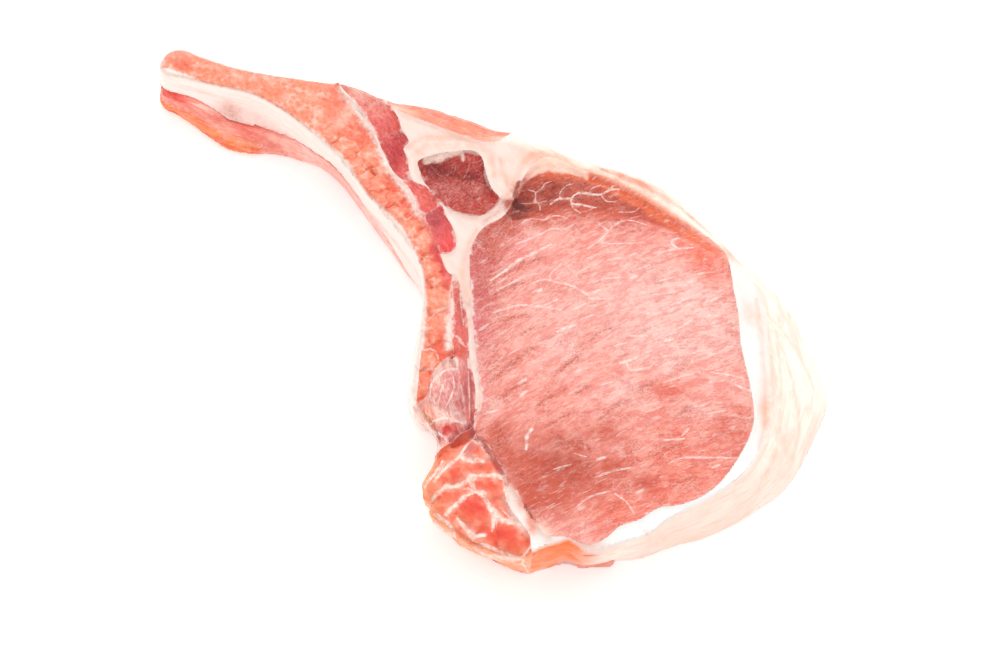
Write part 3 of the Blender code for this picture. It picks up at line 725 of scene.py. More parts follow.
def fat_relief(xy):
    bands = strand_field(xy, FIELD_BANDS)[:, 1]
    streaks = strand_field(xy, CAP_STREAKS)[:, 1]
    mound = np.maximum(spot(xy, 5, 41, 10, 9), domes(xy, FAT_LUMPS))
    side, crease, _ = near_line(xy, rounded_line(CAP_CREASE))
    outer = near_line(xy, rounded_line(FAT_OUTER))[1]
    share = crease / (crease + outer + 1e-6) * (side > 0) * smooth(-xy[:, 1], -9, -2)
    return 0.4 * (1 - mound) + 0.25 * bell(bands / 1.3) + 0.35 * bell(streaks / 1.5) + 2.8 * share ** 1.7


def rib_relief(xy):
    lobes, _ = lobes_and_creases(xy, RIB_LOBES, 1.5)
    lobed = smooth(xy[:, 0], -46, -38)
    white = stripe(xy, RIB_WHITE_BAND, 1.2)
    lines = strand_field(xy, RIB_LINES)
    depth = lobed * (1 - lobes) * 1.1 * (1 - 0.6 * white)
    return depth + 0.25 * bell(lines[:, 1] / 1.2)


def chine_relief(xy):
    lines = strand_field(xy, CHINE_MEMBRANES)
    return 0.1 + 0.9 * (1 - domes(xy, CHINE_LOBES)) + 0.2 * bell(lines[:, 1] / 1.3)


def capsule_relief(xy):
    lines = strand_field(xy, CAPSULE_ARCS)
    lobes = domes(xy, ((-8.6, -24, 2.4), (-10.8, -28.5, 2.6), (-13.6, -26.4, 2), (-7, -31, 2.4)))
    return 0.9 - 0.6 * lobes - 0.3 * bell(lines[:, 1] / 1.3)


def plain_relief(xy):
    return 0.2


# ----------------------------------------------------------------------- where the colours of each piece lie
# Each function gives fields, 0 to 1, under the names that the piece's material reads: xy is where the points
# lie on the cut, and points also says how high. A plain number holds all over the piece.

def eye_layers(xy, points):
    share = sunk_share(xy)
    slope = rim_slope(xy)
    in_band = share < 1
    x = xy[:, 0]
    band = (1 - smooth(share, 0.62, 1)) * smooth(slope, 0.8, 1.1) * smooth(x, 2.4, 5.4)
    foot = 0.8 * stripe(xy, SUNK_EDGE[2:], 2.8) * (1 - smooth(x, 30, 46)) * smooth(x, 3, 9)
    rim = near_line(xy, FAR_RIM)[1]
    right = smooth(x, 18, 24)
    # Painted light: an orange glow and shade on the lit-through slope down from the far rim
    glow = bell(rim / 2.1) * right * (1 - 0.6 * smooth(x, 42, 54))
    glow += 0.8 * bell((slope - 1) / 0.5) * in_band * smooth(x, 10, 14)
    cap = (1 - smooth(slope, 0.7, 1)) * in_band * smooth(x, 7.6, 10.4) * (1 - smooth(x, 23.4, 25))
    cap += 0.35 * bell(rim / 0.6) * smooth(x, 23.4, 25)
    column = patches(xy, (0.45, -3.4, 6, 3.2, 14), (0.6, 0.6, 15.6, 6, 4.6, 40))
    cracks = strand_field(xy, EYE_CRACKS)[:, 1]
    return {
        "pale": patches(xy, (0.75, 36, -1, 24, 13, 12), (0.8, 52, -10, 12, 15),
                        (0.7, 17, -14.6, 5, 3.4), (0.7, 40, -15, 8, 5), (0.95, 32, -27.4, 7, 4.6),
                        (0.4, 32, -40.6, 5, 3), (0.3, 18, -22, 7, 6), (0.9, 49.4, -33, 5, 3.4),
                        (0.3, 8, -32, 4, 3), (0.7, 0.2, -31, 2.4, 2.6), (0.4, 28.2, -57.6, 2.6, 1.8),
                        (0.3, 20.7, -63, 3, 2)),
        "mauve": patches(xy, (0.95, -4.4, 0, 4.4, 22), (0.3, 6, 12, 8, 8)),
        "warm": patches(xy, (0.6, 48, -44, 18, 11), (0.2, 14, -30, 14, 8, 25), (0.7, 29, -59, 7, 5),
                        (0.95, 53, 9, 8, 5, -40), (0.5, 40, -56, 12, 5), (0.5, 36, 24, 13, 5, -32),
                        (0.7, 42.4, -27, 4.4, 2.8, 20)),
        "brown": 0.95 * band + foot + column + patches(
            xy, (0.6, 4.2, 19.4, 3.6, 2.6), (0.95, 11.6, -47.8, 12, 9, -8), (0.6, 26, -50, 12, 5, 8),
            (0.7, 11.4, -54.8, 6, 3.6, -30), (0.55, 28.8, -37.6, 5, 4), (0.35, 2, -40.4, 3.4, 3.4),
            (0.6, 35.8, -51.4, 2.8, 2.2), (0.8, 39.3, 23.4, 3.6, 1.8, -35), (0.4, 33.6, 27, 4, 1.6, -30),
            (0.3, 24.6, 22.8, 5, 1.6), (0.35, 24.6, -38.6, 3, 2), (0.35, 28, -46.6, 2.6, 2),
            (-0.3, 33.6, 23.8, 3, 1.4, -10), (0.3, 26.4, 31.6, 4, 1.4, -20), (0.35, 18, -40.4, 5, 3.4),
            (0.25, 1, 0, 2.4, 12), (0.35, 42.4, -27, 3.4, 2.4, 20), (0.6, 1, -38, 5, 4, -40),
            (0.35, 58, -38, 5, 8)),
        # The sunk band is darker, partly its own darker meat and partly painted shade under the far rim; the
        # strong spot at its left end is painted shade in the pocket there
        "dark": band * np.interp(x, (4, 8, 11, 17, 21, 34, 46), (1, 0.6, 0.45, 0.6, 0.3, 0.3, 0))
        + 0.2 * column + patches(xy, (0.95, 6.2, 24.4, 2.2, 3.4), (0.3, 16, -46, 8, 4.6, -8),
                                 (0.35, 4.6, 21, 2.6, 2.2)),
        "painted_rim_glow": glow,
        # Painted shade: near black in the deep pocket at the left end of the sunk band
        "painted_crevice_shade": patches(xy, (0.95, 6.6, 24.9, 2.4, 1.1), (0.8, 5.9, 26.6, 0.9, 1.4)),
        "cap": cap + 0.9 * spot(xy, 12.2, -63.6, 2.2, 1.7, -30),
        "torn": 0.9 * band * (1 - right * bell(rim / 3)) + 0.8 * bell(cracks / 3)
        + patches(xy, (0.9, -2, 4, 6, 30), (0.2, 14, -44, 16, 10), (0.4, 46, -42, 14, 12)),
        "calm": 0.4 * band + patches(xy, (0.75, 12, -46, 14, 9, -8), (0.2, 34, -6, 24, 20)),
        "border": (0.3 + 0.25 * spot(xy, 9, -57, 3, 7, 40) + 0.45 * smooth(-x, -9, -1) * (xy[:, 1] < 16))
        * (1 - bell(rim / 3)),
    }


def small_layers(xy, points):
    return {
        "dark": patches(xy, (0.9, -14.8, 36, 4, 3), (0.6, -9, 34.6, 7, 2.4),
                        (0.8, -5.2, 33.2, 1.7, 1.4), (0.5, -1.6, 30.4, 1.6, 3, -20)),
        "mauve": patches(xy, (0.85, -12, 30.2, 5, 2.2, -15), (0.8, -5, 30.6, 3.4, 2),
                         (0.6, -9, 26.4, 4.6, 2)),
        "warm": 0.9 * spot(xy, -5, 25, 6.4, 2.6, 5),
        "pale": patches(xy, (0.8, -4.2, 29, 2.2, 1.8), (0.4, -12.6, 27.4, 3, 1.6)),
        "torn": 0.6 + 0.4 * spot(xy, -9, 33, 10, 6),
        "lumps": smooth(patches(xy, (1, -13.6, 38.5, 2.7, 1.6, 20), (1, -9.4, 39.9, 2.4, 1, 8),
                                (1, -7.4, 38.5, 0.6, 1), (1, -16.8, 37.6, 1.2, 0.8, 30)), 0.35, 0.8),
        "border": 0.6,
    }


def strip_layers(xy, points):
    return {
        "dark": spot(xy, -25.4, 39.6, 3.4, 9, -18),
        "warm": patches(xy, (0.7, -16, 26, 4, 4), (0.8, -24.6, 49, 1.6, 6, -20)),
        "pale": 0.8 * stripe(xy, ((-40, 62.6), (-33, 61), (-27, 57.4), (-23, 52.6)), 0.9)
        + patches(xy, (1, -35, 58.5, 5, 3.6), (0.5, -30, 54, 4, 4)),
        "torn": 0.3 + spot(xy, -26, 40, 4, 10, -18),
        "tallow": film_on_wall(points, 15),
        "border": 0.6,
    }


def bean_layers(xy, points):
    return {
        "dark": 0.8 * spot(xy, -14.4, 20.6, 3.2, 3.4),
        "warm": 0.95 * spot(xy, -11, 12.8, 3.4, 3),
        "pale": 0.4 * spot(xy, -16, 22.6, 1.6),
        "torn": 0.4 * spot(xy, -14, 20, 4, 4),
        "border": 0.45,
    }


def seam_layers(xy, points):
    return {
        "dark": patches(xy, (0.6, -7.4, -2, 1.6, 9), (0.8, -6, -28, 2, 6)),
        "mauve": 0.8 * spot(xy, -5.6, -26, 2.4, 8),
        "warm": 0.8 * spot(xy, -8, -16.4, 2.4, 2.4),
        "pale": patches(xy, (0.6, -8.6, 3.6, 1.4, 2.4), (0.5, -7, -19.4, 2, 2)),
        "torn": 0.6 * spot(xy, -8, -14, 3, 5),
        "border": 0.85 - 0.5 * smooth(-xy[:, 1], 20, 24),
    }


def capsule_layers(xy, points):
    return {
        "dark": patches(xy, (0.9, -7.4, -31, 2.2, 3.6, 20), (0.5, -4.8, -27, 1.2, 5)),
        "blood": patches(xy, (0.95, -10.6, -36.6, 3.4, 1.5, 12), (0.9, -15.6, -25.4, 1.2, 2.6),
                         (0.8, -12.4, -38.4, 1.6, 1.2)),
        "warm": patches(xy, (0.8, -15.6, -32.4, 1.8, 1.6), (0.5, -13.6, -35, 2.4, 1.6)),
        "mauve": 0.9 * stripe(xy, ((-9.4, -39.9), (-7.1, -37.9), (-4.8, -36.4), (-4.3, -34.9)), 1.2)
        + patches(xy, (0.8, -9, -24, 2.6, 3.4), (0.5, -11.4, -28.8, 2.4, 2.6)),
        "skin": wall_share(points),
        "torn": 0.5 * spot(xy, -10, -36, 4, 3),
        "border": 0.3,
    }


def chine_layers(xy, points):
    lines = strand_field(xy, CHINE_MEMBRANES)[:, 1]
    return {
        "halo": 0.55 * bell(lines / 2),
        "dark": patches(xy, (1, -4, -57, 3.8, 3, -40), (0.9, 2.6, -64.6, 4.6, 2.6, -20),
                        (0.6, -9, -48.4, 2.6, 1.6, 30), (0.5, -1, -51.6, 3, 1.4, -20)),
        "warm": 0.9 * stripe(xy, ((-14.6, -58), (-11, -62.6), (-6.6, -66.6), (0, -69.4), (8, -70.4)), 2)
        + 0.9 * spot(xy, -14.4, -51, 2.4, 4),
        "mauve": 0.85 * stripe(
            xy, ((-4.2, -37.4), (-2.6, -38.8), (-0.6, -41.4), (1.4, -44.8), (3.2, -48.4)), 1.3)
        + 0.8 * spot(xy, -5.4, -41.6, 2.6, 1.6, 35),
        "joint": 0.95 * stripe(xy, ((-3.4, -36.4), (-6.6, -37.6), (-10.2, -40.2)), 1.3),
        "pale": patches(xy, (1, 6.4, -60.2, 1.3, 4.6, 35), (0.4, -4, -63.6, 2, 1.1, -35),
                        (0.5, -0.6, -43.6, 1.6)),
        "skin": wall_share(points),
    }


def rib_layers(xy, points):
    lobes, creases = lobes_and_creases(xy, RIB_LOBES, 1.5)
    lobed = smooth(xy[:, 0], -46, -38)
    side, near, _ = near_line(xy, rounded_line(RIB_NEAR_EDGE))
    ledge = np.where(side < 0, 1, bell(near / 0.5))
    sponge = np.zeros(len(xy))
    for x, y, wide, deep in SPONGE_PATCHES:
        sponge = np.maximum(sponge, spot(xy, x, y, wide, deep, -35))
    wall = wall_share(points)
    sides = np.stack([xy[:, 0], points[:, 2]], 1)
    tip = 1.2 * spot(xy, -88.2, 66.8, 2.4, 3.6)
    band = stripe(xy, RIB_WHITE_BAND, 1.05)
    band *= np.interp(xy[:, 1], (-9, -3, 1, 18, 24), (1, 0.5, 0.1, 0.1, 1))
    return {
        # On the lobed part the lobe tops are painted paler, a painted highlight, and the hollows and creases
        # between lobes darker, painted shade; pale also holds the sponge patches, and dark the spots listed
        # after the lobes
        "pale": 0.8 * sponge + 0.2 * lobed * smooth(lobes, 0.8, 1),
        "dark": lobed * (0.6 * smooth(1 - lobes, 0.3, 0.9) + 0.5 * creases)
        + patches(xy, (0.6, -80, 66, 4, 1.6, -15), (0.7, -12, -12, 2.2, 4),
                  (0.8, -16.6, -24.8, 1.8, 2.6), (0.6, -11.6, 5, 1.6, 5, 20), (0.4, -26, 27, 6, 10, -30)),
        "white": np.clip(band + ledge + tip, 0, 1),
        "blood": 0.9 * stripe(xy, ((-14.2, 12.6), (-13.4, 9.6), (-11.8, 7), (-11.2, 2.8)), 1.4)
        + 0.5 * stripe(xy, ((-16.6, 21), (-15.4, 17.4), (-14.2, 12.6)), 1.4),
        "warm": 0.85 * stripe(xy, RIB_FAR_EDGE, 1.8),
        "skin": wall,
        # Painted shade: a greyish shadow laid on the rib's near wall
        "hollow": 0.85 * spot(sides, -68.6, 9.6, 3, 2.2, -12) * wall,
        "flesh": wall * patches(sides, (0.8, -54, 6.6, 11, 3, -8), (0.5, -30, 9, 14, 1.4, 6),
                                (0.4, -76, 14, 8, 1, -6)),
    }


def fat_layers(xy, points):
    wall = wall_share(points)
    rim = near_line(xy, FAR_RIM)[1]
    x, y = xy.T
    outer = smooth(x - 0.35 * y, 8, 34)
    outer *= 1 - 0.25 * smooth(x, 56, 61) * smooth(y, -46, -36)
    # The near wall at the lower right, where painted grey shade is laid
    near_side = wall * smooth(x, 30, 38) * smooth(-y, 40, 48)
    near_side *= (1 - smooth(x, 58, 68)) * (1 - 0.5 * smooth(points[:, 2], 3, 14))
    bands = strand_field(xy, FIELD_BANDS)[:, 1]
    streaks = strand_field(xy, CAP_STREAKS)[:, 1]
    side, crease, _ = near_line(xy, rounded_line(CAP_CREASE))
    hide = smooth(np.where(side > 0, crease, 0), 0.3, 3) * (y < 6) * (1 - wall)
    orange = smooth(np.interp(x, *np.array(ORANGE_EDGE).T) - y, 0, 0.9)
    orange = np.maximum(orange, wall * (y < -50)) * smooth(x, 6, 8)
    orange *= (1 - smooth(x, 18, 27)) * (1 - 0.2 * wall * smooth(-points[:, 2], -7, -2))
    return {
        "white": np.clip(outer * (1 - wall) + 0.5 * wall * outer, 0, 1),
        "hide": hide,
        "warm": bell(rim / 0.9) * (y > 9) * smooth(x, 9, 14)
        + 0.4 * bell(bands / 1.6) + 0.3 * bell(streaks / 1.4)
        + 0.5 * bell(rim / 1.4) * smooth(x, 24, 30) * (1 - smooth(x, 44, 54))
        + patches(xy, (1, 15, 38.8, 7, 2.6), (0.6, 24, 35, 4, 2), (0.4, 4.4, 30.2, 1.6, 2.6),
                  (0.3, 42, -62.4, 5, 1.6, 20)),
        # Painted shade: dark brown in the crease where the fat meets the left end of the eye's sunk band
        "brown": 0.3 * stripe(xy, ((-2, 19.6), (0.6, 22), (3, 23.6)), 0.7)
        + 0.6 * stripe(xy, ((4.2, 23.2), (4.8, 25.6)), 0.8)
        + 0.3 * stripe(xy, ((4.7, 28.4), (5.2, 30.6)), 0.9)
        + patches(xy, (0.95, 3.6, 25.4, 1.7, 1.5, 30), (0.5, 0.9, 26.8, 0.7, 1.6, 40)),
        # Painted shade: a dark shadow line along the fat at the left wall of the sunk band
        "painted_rim_shadow": smooth(stripe(xy, ((5.9, 27), (6.2, 28.7), (6.9, 31)), 0.9), 0.3, 0.7) * (1 - wall),
        # Partly the fat's own tan, partly painted shade on its lower walls and at the foot of the cap
        "tan_and_wall_shade": 0.5 * wall * spot(xy, 34.4, -69, 6, 1.8, 8)
        + 0.4 * stripe(xy, ((4.2, -51), (6, -57), (8.4, -61), (13, -65.6)), 2.6)
        + patches(xy, (0.7, 66.4, -31, 2, 6), (0.2, 69, -26, 2, 6), (0.4, 65.8, -33, 1.2, 3),
                  (0.45, 71, -40, 4, 7, -25), (0.6, 60, -59, 6, 3, 40), (0.8, 54, -64, 5, 1.8, 30),
                  (0.95, 44.8, -65.6, 6, 3, 15), (0.5, 24.5, -67.2, 4, 1.4), (0.5, 64, -6, 2.4, 5, 20),
                  (0.9, 60.2, 11.8, 2.2, 3.4, 40)),
        "flesh": 0.8 * spot(xy, 36, 33.4, 11, 3.4, -36) * (y > 8)
        + 0.9 * stripe(xy, ((4.8, -50.4), (7.2, -54.9), (8.9, -59), (9.7, -62.8)), 1.3)
        + 0.5 * stripe(xy, ((28, 36), (38, 31.6), (48, 24.4), (55, 18)), 0.8)
        + patches(xy, (0.5, 60.4, 11.6, 1.8, 2.8, 40), (0.6, 20.7, -66, 3, 1.3)),
        "orange": orange,
        "skin": wall,
        # Painted shade: grey on the near wall at the lower right and a spot on the cap's edge
        "painted_wall_shade": 0.9 * near_side + 0.3 * spot(xy, 71.4, -41.4, 2.2, 5, -25),
        "border": (0.6 * (1 - smooth(x, 20, 34)) + 0.1) * (1 - 0.9 * spot(xy, 5.4, 26.6, 3.4, 5)),
    }


def far_lean_layers(xy, points):
    far = near_line(xy, ((-25, 54.3), (-13.2, 52), (-5.3, 49.4), (0.6, 46.8), (4.6, 46.3)))[1]
    return {
        "pale": 0.9 * bell(far / 1.3) + spot(xy, 4.4, 45.8, 6.6, 4),
        "warm": 0.9 * stripe(xy, ((-17.2, 49.4), (-11.2, 47.6), (-7.3, 46.3), (-3, 44.5)), 1.6),
        "skin": 0.8 * wall_share(points),
        "tallow": film_on_wall(points, 12),
        "border": 0.5,
    }


def film_on_wall(points, level):
    """A film of fat over the far walls, thick at the foot and gone above this level."""
    return wall_share(points) * (1 - smooth(points[:, 2], 2, level))


def under_layers(xy, points):
    fringe = 1 - smooth(points[:, 2], 3, 6)
    flap = 1 - smooth(xy[:, 0], -63, -60)
    sides = np.stack([xy[:, 0], points[:, 2]], 1)
    return {
        "pale": (1 - flap) * (0.35 + 0.6 * smooth(xy[:, 0], -52, -36)),
        "warm": 0.8 * fringe * flap,
        "dark": patches(sides, (0.95, -84, 10, 5, 3), (0.4, -64, 8, 5, 2.4)),
        "border": 0.5 * smooth(xy[:, 0], -74, -66),
    }


def tongue_layers(xy, points):
    return {"dark": 0.6 * spot(xy, 27, -64, 4, 3)}


def wall_share(points):
    """1 on the side walls and 0 on the two cut faces."""
    return smooth(THICKNESS - points[:, 2], 0.2, 1.2) * smooth(points[:, 2], 0.1, 0.6)


# ------------------------------------------------------------------------------------------------- materials

def display(red, green, blue, light=LIGHT_LEVEL):
    """The surface colour that shows as these display values, 0 to 255, on a cut face under the lights."""
    values = np.array([red, green, blue]) / 255.0
    linear = ((values + 0.055) / 1.055) ** 2.4 / light  # the display's own curve
    return (*(float(round(value, 4)) for value in linear), 1.0)


def on_wall(red, green, blue):
    """The same for a near wall, which gets less light."""
    return display(red, green, blue, WALL_LEVEL)


# The white of fat flecks, also used for painted glints
FLECK_AND_GLINT_WHITE = display(255, 238, 230)
SINEW = display(254, 220, 210)
DASH_SHADE = (0.62, 0.30, 0.24, 1.0)
GRANULE_SHADE = (0.72, 0.45, 0.42, 1.0)


class Wiring:
    """A node tree, with short ways to add nodes to it and link them."""

    COLUMNS = 8
    COLUMN_WIDTH = 220
    ROW_HEIGHT = 280

    def __init__(self, tree):
        self.tree = tree
        self.count = 0

    def node(self, kind, **settings):
        node = self.tree.nodes.new(kind)
        row, column = divmod(self.count, self.COLUMNS)
        node.location = (self.COLUMN_WIDTH * column, -self.ROW_HEIGHT * row)
        self.count += 1
        for name, value in settings.items():
            setattr(node, name, value)
        return node

    def feed(self, socket, value):
        """Gives the socket a link, when value is another socket, or a plain value."""
        if isinstance(value, bpy.types.NodeSocket):
            self.tree.links.new(value, socket)
        else:
            socket.default_value = value

    def math(self, operation, *values, clamp=False):
        """The result of a sum on up to three values."""
        node = self.node("ShaderNodeMath", operation=operation, use_clamp=clamp)
        for socket, value in zip(node.inputs, (*values, 0.0, 0.0)):
            self.feed(socket, value)
        return node.outputs[0]

    def plus(self, first, second, clamp=False):
        return self.math("ADD", first, second, clamp=clamp)

    def minus(self, first, second, clamp=False):
        return self.math("SUBTRACT", first, second, clamp=clamp)

    def times(self, first, second, clamp=False):
        return self.math("MULTIPLY", first, second, clamp=clamp)

    def mix(self, share, first, second, blend="MIX"):
        """The first colour with this share of the second laid over it."""
        node = self.node("ShaderNodeMix", data_type="RGBA", blend_type=blend, clamp_factor=True)
        self.feed(node.inputs[0], share)
        self.feed(node.inputs[6], first)
        self.feed(node.inputs[7], second)
        return node.outputs[2]

    def step(self, value, low, high, to_low=0.0, to_high=1.0):
        """An eased step from to_low at low to to_high at high."""
        node = self.node("ShaderNodeMapRange", interpolation_type="SMOOTHSTEP")
        for socket, number in zip(node.inputs, (value, low, high, to_low, to_high)):
            self.feed(socket, number)
        return node.outputs[0]

    def noise(self, position, size, detail=2.0, roughness=0.5, kind="Fac", distortion=0.0):
        """Soft noise with blobs about size metres across."""
        node = self.node("ShaderNodeTexNoise")
        scale = self.math("DIVIDE", 1.0, size) if isinstance(size, bpy.types.NodeSocket) else 1.0 / size
        given = {"Vector": position, "Scale": scale, "Detail": detail, "Roughness": roughness,
                 "Distortion": distortion}
        for name, value in given.items():
            self.feed(node.inputs[name], value)
        return node.outputs[kind]

    def stretched(self, run, length, width, offset=0.0):
        """Grain coordinates scaled so that noise of size 1 runs length by width."""
        parts = self.node("ShaderNodeCombineXYZ")
        for socket, value in zip(parts.inputs, (length, width, width)):
            self.feed(socket, value)
        stretch = self.node("ShaderNodeVectorMath", operation="DIVIDE")
        self.feed(stretch.inputs[0], run)
        self.feed(stretch.inputs[1], parts.outputs[0])
        shift = self.node("ShaderNodeVectorMath", operation="ADD")
        self.feed(shift.inputs[0], stretch.outputs[0])
        self.feed(shift.inputs[1], (offset, offset * 0.7, offset * 1.3))
        return shift.outputs[0]

    def group(self, group, **inputs):
        """The outputs of a node group, its inputs given by name."""
        node = self.node("ShaderNodeGroup", node_tree=group)
        for name, value in inputs.items():
            self.feed(node.inputs[name.replace("_", " ")], value)
        return node.outputs

    def number(self, name):
        """The number that the piece stores for each point under this name."""
        return self.node("ShaderNodeAttribute", attribute_name=name).outputs["Fac"]

    def vector(self, name):
        """The same for a vector."""
        return self.node("ShaderNodeAttribute", attribute_name=name).outputs["Vector"]


def new_group(name, inputs, outputs):
    """An empty node group with these sockets, its wiring, its inputs and the node that takes its outputs."""
    tree = bpy.data.node_groups.new(name, "ShaderNodeTree")
    for label, kind, value in inputs:
        socket = tree.interface.new_socket(label, in_out="INPUT", socket_type="NodeSocket" + kind)
        if value is not None:
            socket.default_value = value
    for label, kind in outputs:
        tree.interface.new_socket(label, in_out="OUTPUT", socket_type="NodeSocket" + kind)
    wiring = Wiring(tree)
    source = wiring.node("NodeGroupInput")
    sink = wiring.node("NodeGroupOutput")
    sink.location = (Wiring.COLUMN_WIDTH * Wiring.COLUMNS, 0)
    return tree, wiring, source.outputs, sink.inputs


def stain_group():
    """Lays one colour over another where a mask says, with ragged edges."""
    tree, w, given, out = new_group(
        "stain",
        (("Color", "Color", None), ("Stain", "Color", None), ("Mask", "Float", 0.0),
         ("Position", "Vector", None), ("Patch size", "Float", 0.003), ("Raggedness", "Float", 0.5)),
        (("Color", "Color"),),
    )
    position = given["Position"]
    patches = w.noise(position, given["Patch size"], 3.0, 0.6)
    swing = w.times(w.minus(patches, 0.5), given["Raggedness"])
    room = w.times(given["Mask"], w.minus(1.15, given["Mask"]))
    swing = w.times(swing, w.times(room, 6.0))
    share = w.plus(given["Mask"], swing, clamp=True)
    w.feed(out["Color"], w.mix(share, given["Color"], given["Stain"]))
    return tree


def strand_group():
    """Thin strands of fat, sinew or shadow: a mask from (offset, distance, strength) in half widths."""
    tree, w, given, out = new_group(
        "strands",
        (("Strands", "Vector", None), ("Position", "Vector", None), ("Fineness", "Float", 0.0007),
         ("Wander", "Float", 1.5)),
        (("Mask", "Float"),),
    )
    position = given["Position"]
    parts = w.node("ShaderNodeSeparateXYZ")
    w.feed(parts.inputs[0], given["Strands"])
    wander = w.noise(position, given["Fineness"], 2.0, 0.6)
    wander = w.times(w.minus(wander, 0.5), given["Wander"])
    offset = w.math("ABSOLUTE", w.plus(parts.outputs["X"], wander))
    patchy = w.noise(position, 0.0021, 1.0, 0.5)
    width = w.step(patchy, 0.3, 0.7, 0.75, 1.3)
    core = w.step(w.math("DIVIDE", offset, width), 0.35, 1.15, 1.0, 0.0)
    reach = w.step(parts.outputs["Y"], 1.6, 2.6, 1.0, 0.0)
    broken = w.step(w.noise(position, 0.0013, 2.0, 0.6), 0.35, 0.58, 0.35, 1.0)
    strength = w.times(parts.outputs["Z"], broken)
    mask = w.times(core, w.times(reach, strength), clamp=True)
    w.feed(out["Mask"], mask)
    return tree


def grain_group():
    """Cut muscle: mottling, a web between its bundles, dark dashes and granules where torn, flecks of fat."""
    tree, w, given, out = new_group(
        "meat grain",
        (("Position", "Vector", None), ("Run", "Vector", None), ("Torn", "Float", 0.0),
         ("Length", "Float", 3.0), ("Width", "Float", 0.7)),
        (("Mottle", "Float"), ("Web", "Float"), ("Dashes", "Float"), ("Granules", "Float"),
         ("Flecks", "Float"), ("Height", "Float")),
    )
    position = given["Position"]
    length = given["Length"]
    width = given["Width"]
    run = given["Run"]
    broad = w.noise(w.stretched(run, w.times(length, 1.6), w.times(width, 3.6), 3.1), 1.0, 3.0, 0.62,
                    distortion=0.7)
    narrow = w.noise(w.stretched(run, w.times(length, 0.5), w.times(width, 0.7), 5.7), 1.0, 3.0, 0.65,
                     distortion=1.0)
    bundles = w.noise(w.stretched(run, w.times(length, 0.8), width), 1.0, 4.0, 0.66, distortion=1.2)
    fat = w.noise(w.stretched(run, length, w.times(width, 0.8), 7.3), 1.0, 2.0, 0.5, distortion=0.8)
    patches = w.noise(position, 0.0065, 2.0, 0.5)
    fine = w.noise(position, 0.0005, 3.0, 0.65)
    bent = w.node("ShaderNodeVectorMath", operation="ADD")
    w.feed(bent.inputs[0], w.stretched(run, w.times(length, 1.5), w.times(width, 4.0), 1.9))
    w.feed(bent.inputs[1], w.noise(position, 0.002, 3.0, 0.6, "Color"))
    cells = w.node("ShaderNodeTexVoronoi", feature="DISTANCE_TO_EDGE")
    w.feed(cells.inputs["Vector"], bent.outputs[0])
    w.feed(cells.inputs["Scale"], 1.0)
    web = w.times(w.step(cells.outputs["Distance"], 0.075, 0.015), w.step(patches, 0.44, 0.6))
    torn = w.plus(w.step(patches, 0.5, 0.68, 0.1, 0.6), given["Torn"], clamp=True)
    mottle = w.plus(w.times(w.step(broad, 0.34, 0.66), 0.55),
                    w.times(w.step(narrow, 0.34, 0.66), 0.45))
    w.feed(out["Mottle"], mottle)
    w.feed(out["Web"], web)
    w.feed(out["Dashes"], w.times(w.step(bundles, 0.45, 0.34), w.plus(torn, 0.15, clamp=True)))
    w.feed(out["Granules"], w.times(w.step(fine, 0.52, 0.38), torn))
    whole = w.minus(1.0, w.times(given["Torn"], 0.4))
    seeds = w.node("ShaderNodeTexVoronoi", feature="F1")
    w.feed(seeds.inputs["Vector"],
           w.stretched(run, w.times(length, 1.7), w.times(width, 2.6), 2.3))
    w.feed(seeds.inputs["Scale"], 1.0)
    chance = w.node("ShaderNodeSeparateColor")
    w.feed(chance.inputs[0], seeds.outputs["Color"])
    ragged = w.minus(w.plus(narrow, bundles), 1.0)
    reach = w.plus(seeds.outputs["Distance"], w.times(ragged, 0.7))
    islands = w.step(w.minus(reach, w.step(chance.outputs[0], 0.6, 1.0, -0.1, 0.32)), 0.04, -0.16)
    specks = w.math("MAXIMUM", w.times(w.step(fat, 0.6, 0.69), 0.6), islands)
    specks = w.times(specks, whole)
    w.feed(out["Flecks"], w.times(specks, w.step(patches, 0.62, 0.42, 0.25, 1.0)))
    rough = w.times(fine, w.plus(torn, 0.4))
    relief = w.plus(w.times(bundles, 0.8), w.times(narrow, 0.6))
    w.feed(out["Height"], w.plus(relief, rough))
    return tree


def marrow_group():
    """Sawn spongy bone: small pale cells round darker red marrow."""
    tree, w, given, out = new_group(
        "marrow",
        (("Position", "Vector", None), ("Cell", "Float", 0.0011)),
        (("Walls", "Float"), ("Marrow", "Float"), ("Height", "Float")),
    )
    position = given["Position"]
    bent = w.node("ShaderNodeVectorMath", operation="MULTIPLY_ADD")
    w.feed(bent.inputs[0], w.noise(position, 0.0012, 2.0, 0.5, "Color"))
    w.feed(bent.inputs[1], (0.0009, 0.0009, 0.0009))
    w.feed(bent.inputs[2], position)
    cells = w.node("ShaderNodeTexVoronoi", feature="F1")
    w.feed(cells.inputs["Vector"], bent.outputs[0])
    w.feed(cells.inputs["Scale"], w.math("DIVIDE", 1.0, given["Cell"]))
    patchy = w.noise(position, 0.0032, 3.0, 0.6)
    walls = w.times(w.step(cells.outputs["Distance"], 0.42, 0.72), w.step(patchy, 0.4, 0.62))
    w.feed(out["Walls"], walls)
    w.feed(out["Marrow"], w.times(w.step(cells.outputs["Distance"], 0.0, 0.4, 1.0, 0.0),
                                 w.step(patchy, 0.62, 0.38)))
    w.feed(out["Height"], w.plus(cells.outputs["Distance"], patchy))
    return tree


